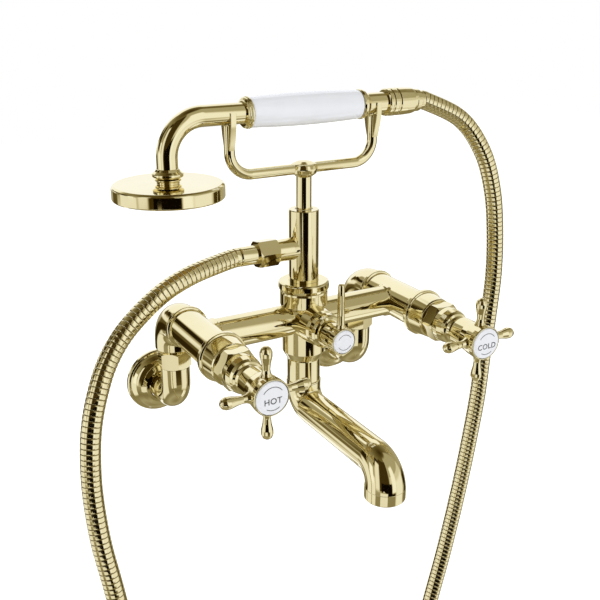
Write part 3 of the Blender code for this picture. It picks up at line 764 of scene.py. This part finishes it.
def hose():
    """Three lengths of one hose, each reaching across at most one joint."""
    route = [at(*place) for place in HOSE_ROUTE]
    even = points_at(smooth_line(route[1:-1]), np.linspace(0, 1, HOSE_STEPS + 1))
    line = [route[0]] + even + [route[-1]]
    cuts = [0]
    for number in HOSE_ENDS:
        gaps = [(place - route[number]).length for place in line]
        cuts.append(gaps.index(min(gaps)))
    cuts.append(len(line) - 1)
    runs = (
        ("hose_left_run", ("mixer",)),
        ("hose_right_run", ("mixer", "cradle")),
        ("hose_upper_run", ("cradle", "handset")),
    )
    for (name, bodies), first, last in zip(runs, cuts, cuts[1:]):
        stretch = line[first : last + 1]
        piece = wound_tube(name, stretch)
        piece.data.materials.append(HOSE_METAL)
        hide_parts("shower_hose")
        if len(bodies) == 1:
            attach(piece, *bodies)
        else:
            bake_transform(piece)


# ---------------------------------------------------------------- the fixed body

LEG_BACK = 57.0
LEG_R = 15.2
LEG_BEND_R = 22.0
LEG_START = -27.0
LEG_END = -26.9
NECK_R = 10.2
BRIDGE_R = 12.5


def barrel(side):
    """Valve barrel, with the shoulders for its bonnet in front and its leg behind."""
    profile = [
        (0, 57.0),
        (15.6, 57.0, 0.6),
        (16.2, 55.6, 0.8),
        (17.3, 43.0, 0.8),
        (17.4, 41.6, 0.5),
        (18.9, 41.0, 1.0),
        (18.9, 37.2, 1.4),
        (17.4, 35.4, 1.0),
        (15.0, 34.8, 0.6),
        (15.0, -24.2, 0.5),
        (16.9, -24.6, 0.9),
        (17.1, -28.4, 1.2),
        (15.4, -29.2, 0.4),
        (0, -29.2),
    ]
    return turned("barrel", profile, at(side * VALVE_X, 0, 0), FORWARD)


def mixer_body():
    """The casting: centre, diverter boss, bridge, and a barrel and a leg on each side."""
    centre = [
        (0, 24.0),
        (18.6, 24.0, 0.4),
        (19.0, 22.4, 1.0),
        (19.0, 12.2, 1.5),
        (17.2, 10.2, 1.0),
        (17.2, -27.6, 1.2),
        (13.8, -33.6, 0.6),
        (0, -33.6),
    ]
    body = turned("mixer_body_cast", centre, at(0, 0, 0), UP)
    boss = [(0, 31.0), (13.5, 31.0, 0.4), (14.4, 28.0, 1.2), (15.2, 18.0, 1.0), (15.2, 0), (0, 0)]
    solids = [turned("boss", boss, at(0, 0, 0), FORWARD)]
    solids.append(rod("bridge", BRIDGE_R, -VALVE_X, VALVE_X, at(0, 0, 0), RIGHT))
    for side in (-1, 1):
        collar = [(0, 14.5), (12.5, 14.5), (12.6, 13.6, 0.4), (13.4, 12.6, 0.6), (13.4, 0), (0, 0)]
        inwards = Vector((-side, 0, 0))
        solids.append(turned("collar", collar, at(side * VALVE_X, 0, 0), inwards))
        solids.append(barrel(side))
        corner = at(side * VALVE_X, -LEG_BACK, 0)
        line = [at(side * VALVE_X, LEG_START, 0)]
        line += bend(corner, BACKWARD, DOWN, LEG_BEND_R, 28)
        line.append(at(side * VALVE_X, -LEG_BACK, LEG_END))
        solids.append(swept("leg", line, LEG_R))
        neck = [(0, -22.0), (15.0, -22.0), (15.0, -27.6, 0.7)]
        neck += [(NECK_R, -28.8, 1.0), (NECK_R, -34.0), (0, -34.0)]
        solids.append(turned("neck", neck, at(side * VALVE_X, -LEG_BACK, 0), UP))
    combine(body, solids)
    dress(body, "mixer", "mixer_body")


# ---------------------------------------------------------------- wall connections

NUT_TURN = 21.0
ELBOW_R = 12.0
ELBOW_BEND_R = 18.0
ELBOW_BORE_R = 8.4


def wall_union(name, side):
    """Union nut under a leg, the elbow into the wall and the flange round it."""
    leg = at(side * VALVE_X, -LEG_BACK, 0)
    nut = hex_nut(name + "_union_hex", 24.5, -44.5, -30.3, leg, UP, NUT_TURN)
    dress(nut, "mixer", name + "_union_nut")
    corner = at(side * VALVE_X, -LEG_BACK, -INLET_DROP)
    line = [at(side * VALVE_X, -LEG_BACK, -44.9)]
    line += bend(corner, DOWN, BACKWARD, ELBOW_BEND_R, 28)
    line.append(at(side * VALVE_X, -WALL + 0.6, -INLET_DROP))
    elbow = swept(name + "_inlet_bend", line, ELBOW_R)
    place = at(side * VALVE_X, -WALL, -INLET_DROP)
    bore = rod("bore", ELBOW_BORE_R, -2.0, 24.0, place, FORWARD, MEDIUM)
    combine(elbow, [bore], "DIFFERENCE")
    dress(elbow, "mixer", name + "_inlet_elbow")
    flange = [
        (12.3, 17.2), (13.4, 17.2, 0.8), (15.8, 16.6, 4.0), (19.6, 14.6, 8.0), (23.2, 11.4, 8.0),
        (25.2, 7.4, 6.0), (25.9, 4.9, 0.4), (27.4, 4.5, 1.2), (28.2, 3.2, 1.2), (28.2, 1.0, 0.8),
        (27.8, 0.05), (24.2, 0.05), (21.0, 8.0), (12.3, 14.0),
    ]
    cover = turned(name + "_flange_dome", flange, place, FORWARD)
    dress(cover, "mixer", name + "_wall_flange")


# ---------------------------------------------------------------- valve heads

# How far in front of the centre the arms, the lever and the faces of the discs are
ARMS_FORWARD = 107.2
LEVER_FORWARD = 55.2
DISC_FRONT = 116.2
DIVERTER_FRONT = 61.3
# Printed marks stand this far in front of their disc, and are this thick
PRINT_GAP = 0.04
PRINT_THICK = 0.12


def cross_handle(name, valve):
    """Hub with four turned arms."""
    hub = [
        (0, 111.6),
        (12.25, 111.6),
        (12.25, 115.2, 0.2),
        (12.8, 115.2, 0.4),
        (13.15, 114.4, 0.5),
        (13.1, 110.5, 1.5),
        (12.5, 104.0, 4.0),
        (11.35, 97.5, 4.0),
        (11.35, 87.2, 0.8),
        (10.2, 84.1, 0.5),
        (0, 84.1),
    ]
    handle = turned(name + "_cross", hub, valve, FORWARD)
    arm = [
        (0, 33.6), (1.4, 33.4, 0.8), (3.2, 32.2, 2.0), (4.3, 29.6, 3.0), (4.2, 26.4, 4.0),
        (3.1, 21.5, 5.0), (2.7, 17.4, 3.0), (3.1, 14.8, 2.0), (4.3, 12.4, 1.6), (5.0, 11.2),
        (5.0, 8.0), (0, 8.0),
    ]
    hub_place = valve + FORWARD * ARMS_FORWARD * MM
    arms = [turned("arm", arm, hub_place, way, THIN) for way in (UP, DOWN, LEFT, RIGHT)]
    combine(handle, arms)
    dress(handle, name + "_valve", name + "_handle")


def index_disc(name, body, node, place, radius, front, thickness):
    """Flat porcelain disc with a rounded edge, set into the hub."""
    profile = [
        (0, front),
        (radius * 0.78, front, 2.5),
        (radius - 0.5, front - 0.55, 0.9),
        (radius, front - 1.7, 0.6),
        (radius, front - thickness),
        (0, front - thickness),
    ]
    disc = turned(name, profile, place, FORWARD)
    dress(disc, body, node, "glazed_porcelain")


def ink(piece, body):
    """Finish a printed mark: ink material, riding on the body of the disc under it."""
    piece.data.materials.clear()
    piece.data.materials.append(INK)
    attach(piece, body)


def lettering(name, text, body, place, size, rise, spacing):
    """Flat printed word that lies just proud of a disc facing the room."""
    data = bpy.data.curves.new(name, "FONT")
    data.body = text
    data.size = size * MM
    data.align_x = "CENTER"
    data.align_y = "CENTER"
    data.extrude = 0.05 * MM
    data.offset = 0.05 * MM
    data.space_character = spacing
    mesh = mesh_of(name, data)
    stand = Matrix(((1, 0, 0), (0, 0, -1), (0, 1, 0))).to_4x4()
    mesh.transform(Matrix.Translation(place + UP * rise * MM) @ stand)
    ink(link(name, mesh), body)


def arc_mark(name, body, place, radius, start, end, width=0.35):
    """Thin printed arc round a disc, with angles in degrees from the right."""
    mesh = bmesh.new()
    steps = 40
    inner = []
    outer = []
    for step in range(steps + 1):
        angle = math.radians(start + (end - start) * step / steps)
        ray = RIGHT * math.cos(angle) + UP * math.sin(angle)
        inner.append(mesh.verts.new(place + ray * (radius - width / 2) * MM))
        outer.append(mesh.verts.new(place + ray * (radius + width / 2) * MM))
    for step in range(steps):
        mesh.faces.new((inner[step], outer[step], outer[step + 1], inner[step + 1]))
    data = bpy.data.meshes.new(name)
    mesh.to_mesh(data)
    mesh.free()
    piece = link(name, data)
    thick = piece.modifiers.new("thickness", "SOLIDIFY")
    thick.thickness = PRINT_THICK * MM
    thick.offset = 0
    ink(piece, body)


def valve_head(name, side, word):
    """Bonnet nut, gland nut, cross handle and index disc with its printed word and arcs."""
    valve = at(side * VALVE_X, 0, 0)
    nut = hex_nut(name + "_bonnet_hex", 28.0, 57.3, 68.4, valve, FORWARD, chamfer=2.2)
    dress(nut, "mixer", name + "_bonnet")
    gland = [
        (4.3, 83.5),
        (9.4, 83.5, 0.5),
        (10.2, 81.2, 0.8),
        (12.0, 80.4, 0.8),
        (13.0, 78.0, 1.2),
        (13.9, 73.4, 1.5),
        (13.9, 68.7),
        (4.3, 68.7),
    ]
    dress(turned(name + "_gland", gland, valve, FORWARD), "mixer", name + "_gland_nut")
    cross_handle(name, valve)
    body = name + "_valve"
    index_disc(name + "_index_disc", body, name + "_index", valve, 12.0, DISC_FRONT, 4.3)
    face = valve + FORWARD * (DISC_FRONT + PRINT_GAP) * MM
    lettering(name + "_word", word, body, face, 6.0, -2.0, 1.06)
    arc_mark(name + "_arc", body, face, 8.2, 35, 145, 0.45)
    arc_mark(name + "_under_arc", body, face, 8.2, 235, 305, 0.45)


# ---------------------------------------------------------------- diverter


def diverter():
    """Bonnet ring, hub with its lever, and index disc with printed arcs."""
    hub_axis = at(0, 0, 0)
    ring = [
        (4.3, 39.2),
        (10.8, 39.2, 0.5),
        (12.6, 38.2, 0.8),
        (13.6, 35.8, 1.0),
        (13.7, 31.3),
        (4.3, 31.3),
    ]
    dress(turned("diverter_ring", ring, hub_axis, FORWARD), "mixer", "diverter_bonnet")
    hub = [
        (0, 57.6), (9.55, 57.6), (9.55, 60.4, 0.2), (10.1, 60.4, 0.3), (10.45, 59.7, 0.4),
        (10.4, 54.0, 2.0), (9.7, 48.6, 3.0), (9.7, 42.4, 0.8), (8.8, 39.9, 0.4), (0, 39.9),
    ]
    lever = turned("diverter_handle", hub, hub_axis, FORWARD)
    blade = [
        (0, 44.6), (1.3, 44.5, 0.8), (2.3, 43.4, 1.6), (2.7, 36.0, 4.0), (2.8, 20.0, 4.0),
        (3.0, 12.6, 1.0), (3.9, 10.2), (3.9, 9.7), (0, 9.7),
    ]
    arm = turned("blade", blade, hub_axis + FORWARD * LEVER_FORWARD * MM, UP, THIN)
    combine(lever, [arm])
    dress(lever, "diverter", "diverter_lever")
    index_disc("diverter_disc", "diverter", "diverter_index", hub_axis, 9.3, DIVERTER_FRONT, 3.4)
    face = hub_axis + FORWARD * (DIVERTER_FRONT + PRINT_GAP) * MM
    arc_mark("diverter_arc", "diverter", face, 6.0, 30, 150)
    arc_mark("diverter_under_arc", "diverter", face, 6.0, 210, 330)


# ---------------------------------------------------------------- column and hose outlet

OUTLET_RISE = (middle("hose_outlet_nut").z - CENTRE.z) / MM
OUTLET_TURN = 8.0


def column():
    """Collar, and the riser tube with the stub that the hose leaves from."""
    axis = at(0, 0, 0)
    collar = [
        (11.8, 31.8),
        (18.6, 31.8, 0.6),
        (20.0, 30.8, 0.8),
        (20.2, 26.6, 1.0),
        (19.4, 24.6, 0.6),
        (18.6, 24.3),
        (11.8, 24.3),
    ]
    dress(turned("column_ring", collar, axis, UP), "mixer", "column_collar")
    riser = [
        (6.9, 76.0), (6.9, 89.3), (11.3, 89.3, 0.35), (11.7, 88.7, 0.3), (11.7, 31.9),
        (9.6, 31.9), (9.6, 12.0), (0, 12.0), (0, 76.0),
    ]
    body = turned("riser_tube", riser[::-1], axis, UP)
    stub = [(0, 37.0), (7.3, 37.0), (7.3, 25.0), (8.5, 25.0, 0.4), (8.7, 12.6, 0.5)]
    stub += [(8.7, 4.0), (0, 4.0)]
    combine(body, [turned("stub", stub, at(0, 0, OUTLET_RISE), LEFT)])
    dress(body, "mixer", "riser_column")


def hose_outlet():
    """Nut and ferrule at the hose's lower end."""
    outlet = at(0, 0, OUTLET_RISE)
    nut = hex_nut("hose_outlet_hex", 19.6, 25.3, 42.0, outlet, LEFT, OUTLET_TURN, 1.3)
    dress(nut, "mixer", "hose_outlet_nut")
    ferrule = [(4.4, 56.3), (6.7, 56.3, 0.3), (7.3, 55.4, 0.4), (7.3, 42.3)]
    ferrule += [(7.1, 39.0), (4.4, 39.0)]
    dress(turned("hose_end_sleeve", ferrule, outlet, LEFT), "mixer", "hose_outlet_ferrule")


# ---------------------------------------------------------------- spout

SPOUT_RISE = -74.8
SPOUT_REACH = -(middle("aerator_nozzle").y - CENTRE.y) / MM
SPOUT_BEND_R = 15.0
NOSE_BEND_R = 17.0
ELBOW_STEPS = 24
NOSE_STEPS = 28
RUN_STEPS = 20
# Radii where the spout starts, along its run, and at its mouth and inside that
SPOUT_TOP_R = 14.0
SPOUT_RUN_R = 13.3
MOUTH_R = 15.1
MOUTH_BORE_R = 12.6


def spout():
    """Collar, the spout that narrows, runs level and widens to its mouth, and the nozzle."""
    axis = at(0, 0, 0)
    collar = [
        (8.8, -33.9),
        (12.9, -33.9, 0.3),
        (13.4, -34.8, 0.4),
        (13.4, -53.2, 0.4),
        (14.1, -54.0, 0.4),
        (14.1, -54.7),
        (8.8, -54.7),
    ]
    dress(turned("spout_neck_ring", collar, axis, UP), "mixer", "spout_collar")
    elbow = bend(at(0, 0, SPOUT_RISE), DOWN, FORWARD, SPOUT_BEND_R, ELBOW_STEPS)
    nose = bend(at(0, SPOUT_REACH, SPOUT_RISE), FORWARD, DOWN, NOSE_BEND_R, NOSE_STEPS)
    line = [at(0, 0, -55.0)] + elbow
    line += [elbow[-1].lerp(nose[0], step / RUN_STEPS) for step in range(1, RUN_STEPS)]
    line += nose + [at(0, SPOUT_REACH, -96.0), at(0, SPOUT_REACH, -99.8)]
    narrowing = (SPOUT_TOP_R - SPOUT_RUN_R) / ELBOW_STEPS
    radii = [SPOUT_TOP_R + 0.1]
    radii += [SPOUT_TOP_R - narrowing * step for step in range(ELBOW_STEPS + 1)]
    radii += [SPOUT_RUN_R] * (RUN_STEPS - 1)
    for step in range(NOSE_STEPS + 1):
        radii.append(SPOUT_RUN_R + (MOUTH_R - SPOUT_RUN_R) * (step / NOSE_STEPS) ** 1.3)
    radii += [MOUTH_R, MOUTH_R]
    pipe = swept("spout_pipe", line, radii)
    lip = [
        (0, -90.5),
        (14.6, -90.5),
        (14.9, -91.4, 0.2),
        (15.25, -91.7, 0.2),
        (15.25, -100.2, 0.5),
        (14.5, -101.0, 0.5),
        (13.0, -101.0, 0.4),
        (MOUTH_BORE_R, -100.2),
        (MOUTH_BORE_R, -94.0),
        (0, -94.0),
    ]
    mouth = at(0, SPOUT_REACH, 0)
    bore = rod("bore", MOUTH_BORE_R, -106.0, -94.0, mouth, UP)
    combine(pipe, [turned("lip", lip, mouth, UP)])
    combine(pipe, [bore], "DIFFERENCE")
    dress(pipe, "swivel_spout", "spout")
    nozzle = [
        (0, -95.0), (12.2, -95.0, 0.3), (12.2, -99.8, 0.5), (9.0, -100.0, 0.3), (8.5, -101.0, 0.4),
        (8.5, -102.8, 0.5), (7.8, -103.4, 0.3), (6.6, -103.4, 0.3), (6.3, -102.1), (0, -102.1),
    ]
    dress(turned("spout_nozzle", nozzle, mouth, UP), "swivel_spout", "aerator_nozzle")


# ---------------------------------------------------------------- cradle

FORK_X = 61.5
FORK_WALL = 0.7
FORK_THICK = 4.4
FORK_EDGE = 0.3
FORK_FOOT = -25.4
# The yoke's sides start to narrow here, and are this far out at its foot
FORK_SHOULDER = -5.0
FORK_FOOT_WIDTH = 4.3
# The hollow reaches this many degrees past a half circle on each side
FORK_LEAN = 10
# Radii of the hollows under the gooseneck and under the tail's neck
LEFT_HOLLOW = 7.8
RIGHT_HOLLOW = 8.4
BAR_R = 4.05
BAR_RISE = 120.65
BAR_BEND_R = 17.0
# The bar's two ends stop this far under the hollows
BAR_GAP = 0.3
STEM_R = 5.9


def fork_outline(hollow):
    """Outline of a yoke round a hollow: up its left side, round the hollow, down the right."""
    width = hollow + FORK_WALL
    lean = math.radians(FORK_LEAN)
    turns = 36
    steps = 12
    right_side = [(width - 0.1, 1.7), (width, 1.2)]
    for step in range(steps + 1):
        narrowing = (width - FORK_FOOT_WIDTH) * (step / steps) ** 1.6
        rise = FORK_SHOULDER + (FORK_FOOT - FORK_SHOULDER) * step / steps
        right_side.append((width - narrowing, rise))
    right_side.append((2.0, FORK_FOOT))
    outline = [(-across, rise) for across, rise in reversed(right_side)]
    for step in range(turns + 1):
        angle = math.pi - lean + (math.pi + 2 * lean) * step / turns
        outline.append((hollow * math.cos(angle), hollow * math.sin(angle)))
    return outline + right_side


def fork(side, hollow):
    """Flat yoke across the bar, cut out round the handset and tapering into the bar."""
    outline = fork_outline(hollow)
    curve = bpy.data.curves.new("fork", "CURVE")
    curve.dimensions = "2D"
    curve.fill_mode = "BOTH"
    curve.extrude = (FORK_THICK / 2 - FORK_EDGE) * MM
    curve.bevel_depth = FORK_EDGE * MM
    curve.bevel_resolution = 3
    curve.offset = -FORK_EDGE * MM
    spline = curve.splines.new("POLY")
    spline.points.add(len(outline) - 1)
    spline.use_cyclic_u = True
    for target, (across, rise) in zip(spline.points, outline):
        target.co = (across * MM, rise * MM, 0, 1)
    mesh = mesh_of("fork", curve)
    weld(mesh)
    upright = Matrix(((0, 0, 1), (1, 0, 0), (0, 1, 0))).to_4x4()
    mesh.transform(Matrix.Translation(at(side * FORK_X, 0, HANDLE_RISE)) @ upright)
    return link("fork", mesh)


def cradle():
    """Bent bar with its saddle and two yokes, and the stem that turns in the column."""
    line = [at(-FORK_X, 0, HANDLE_RISE - LEFT_HOLLOW - BAR_GAP)]
    line += bend(at(-FORK_X, 0, BAR_RISE), DOWN, RIGHT, BAR_BEND_R, 24)
    line += bend(at(FORK_X, 0, BAR_RISE), RIGHT, UP, BAR_BEND_R, 24)
    line.append(at(FORK_X, 0, HANDLE_RISE - RIGHT_HOLLOW - BAR_GAP))
    bar = swept("cradle_frame", line, BAR_R, THIN)
    saddle = [
        (0, 6.1),
        (4.6, 5.6, 3.0),
        (9.4, 3.6, 3.0),
        (10.9, 0, 2.4),
        (9.6, -3.6, 3.0),
        (5.9, -6.2, 0.4),
        (0, -6.2),
    ]
    boss = turned("saddle", saddle, at(0, 0, BAR_RISE), UP, steps=8)
    combine(bar, [boss, fork(-1, LEFT_HOLLOW), fork(1, RIGHT_HOLLOW)])
    dress(bar, "cradle", "cradle_bar")
    stem = rod("cradle_post", STEM_R, 76.6, BAR_RISE - 4.0, at(0, 0, 0), UP)
    dress(stem, "cradle", "cradle_stem")


# ---------------------------------------------------------------- handset

PIPE_R = 7.5
PIPE_START = 125.0
PIPE_END = 54.0
PIPE_BEND_R = 27.0
# Nozzles of the spray plate: how many rings, how far apart
SPRAY_RINGS = 5
SPRAY_GAP = 6.2
# The sleeve: its radius at the ends, and how much more in the middle
SLEEVE_R = 10.7
SLEEVE_SWELL = 1.25


def shower_head():
    """Round head, the union on top of it and the spray plate below."""
    middle_of_head = at(HEAD_X, 0, 0)
    shell = [
        (0, 124.5),
        (7.2, 124.5, 0.2),
        (9.2, 123.9, 0.4),
        (9.2, 123.0, 0.4),
        (8.1, 122.5, 0.2),
        (8.1, 121.0, 0.3),
        (37.6, 121.0, 1.0),
        (39.5, 119.6, 1.8),
        (39.5, 111.4, 0.6),
        (38.8, 110.6, 0.3),
        (37.3, 110.6, 0.2),
        (37.1, 114.0),
        (0, 114.0),
    ]
    head = turned("head_shell", shell, middle_of_head, UP, HEAD_SIDES)
    dress(head, "handset", "shower_head")
    union = [
        (7.6, 131.2),
        (8.1, 131.0, 0.3),
        (9.0, 129.6, 1.2),
        (11.0, 127.9, 1.0),
        (11.0, 125.9, 0.9),
        (9.6, 125.0, 0.5),
        (8.0, 124.8),
        (7.6, 124.8),
    ]
    dress(turned("head_collar", union, middle_of_head, UP), "handset", "head_union")
    spray_face(middle_of_head)


def spray_face(middle_of_head):
    """Plate with rings of small nozzles that stand out of it."""
    plate = [(0, 113.8), (36.8, 113.8), (36.8, 111.2, 0.4), (36.0, 110.9, 0.3), (0, 110.9)]
    face = turned("spray_face", plate, middle_of_head, UP)
    nozzle = [(0, 111.4), (1.25, 111.4), (1.0, 110.75, 0.2)]
    nozzle += [(0.45, 110.6), (0.4, 111.0), (0, 111.0)]
    mesh = bmesh.new()
    mesh.from_mesh(face.data)
    spots = [(0, 0)]
    for ring in range(1, SPRAY_RINGS + 1):
        count = 6 * ring
        for step in range(count):
            angle = math.tau * (step + 0.5 * (ring % 2)) / count
            out = ring * SPRAY_GAP
            spots.append((out * math.cos(angle), out * math.sin(angle)))
    for across, along in spots:
        single = lathe(nozzle, NOZZLE_SIDES, 2)
        single.transform(Matrix.Translation(middle_of_head + Vector((across, along, 0)) * MM))
        mesh.from_mesh(single)
        bpy.data.meshes.remove(single)
    mesh.to_mesh(face.data)
    mesh.free()
    dress(face, "handset", "spray_plate", "machined_brass")


def handset_pipe():
    """Pipe from the head, round a bend and through the sleeve."""
    corner = at(HEAD_X, 0, HANDLE_RISE)
    line = [at(HEAD_X, 0, PIPE_START)] + bend(corner, UP, RIGHT, PIPE_BEND_R, 36)
    line.append(at(PIPE_END, 0, HANDLE_RISE))
    dress(swept("gooseneck", line, PIPE_R), "handset", "handset_pipe")


def grip():
    """Porcelain sleeve between its two collars, then the neck and the hose's cone nut."""
    axis = at(0, 0, HANDLE_RISE)
    left, right = (corner.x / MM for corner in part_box("ceramic_sleeve"))
    front = [
        (7.6, left - 0.25),
        (10.9, left - 0.25, 0.3),
        (11.5, left - 0.8, 0.4),
        (11.5, left - 2.0, 0.5),
        (10.6, left - 2.5, 0.3),
        (11.0, left - 3.0, 0.4),
        (10.9, left - 3.9, 0.6),
        (9.6, left - 4.8, 0.6),
        (8.4, left - 5.0, 0.3),
        (7.6, left - 5.0),
    ]
    dress(turned("grip_front_ring", front, axis, RIGHT), "handset", "front_collar")
    sleeve = [(7.7, right), (10.4, right, 0.3)]
    rows = 24
    for row in range(rows + 1):
        share = row / rows
        across = SLEEVE_R + SLEEVE_SWELL * math.sin(math.pi * share) ** 0.9
        along = right - 0.5 - (right - left - 1.0) * share
        sleeve.append((across, along))
    sleeve += [(10.4, left, 0.3), (7.7, left)]
    glaze = turned("grip_sleeve", sleeve, axis, RIGHT)
    dress(glaze, "handset", "ceramic_sleeve", "glazed_porcelain")
    rear = [
        (7.6, 54.3),
        (8.6, 54.3, 0.3),
        (9.3, 53.2, 0.5),
        (10.9, 51.0, 1.2),
        (11.4, 48.8, 0.8),
        (10.9, right + 0.3, 0.3),
        (7.6, right + 0.3),
    ]
    dress(turned("grip_rear_ring", rear, axis, RIGHT), "handset", "rear_collar")
    dress(rod("tail_neck", 8.1, 54.4, 72.0, axis, RIGHT), "handset", "handset_neck")
    cone = [
        (0, 103.8),
        (8.0, 103.8, 0.3),
        (8.7, 103.2, 0.5),
        (8.9, 99.4, 0.8),
        (8.6, 98.6, 0.3),
        (9.5, 98.0, 0.6),
        (10.1, 95.6, 2.0),
        (10.5, 88.6, 3.0),
        (10.6, 82.4, 0.5),
        (10.0, 81.6, 0.4),
        (10.0, 80.4, 0.3),
        (10.65, 79.6, 0.4),
        (10.65, 76.4, 0.4),
        (10.1, 75.7, 0.3),
        (10.1, 74.9, 0.3),
        (10.5, 74.2, 0.4),
        (10.5, 72.2, 0.6),
        (9.6, 71.3, 0.4),
        (0, 71.3),
    ]
    dress(turned("tail_cone", cone, axis, RIGHT), "handset", "hose_cone_nut")


add_camera()
set_tones()
dress_frame()
hose()
add_world()
add_stage()
add_light()
mixer_body()
for valve_name, valve_side, valve_word in (("hot", -1, "HOT"), ("cold", 1, "COLD")):
    wall_union(valve_name, valve_side)
    valve_head(valve_name, valve_side, valve_word)
diverter()
column()
hose_outlet()
spout()
cradle()
shower_head()
handset_pipe()
grip()
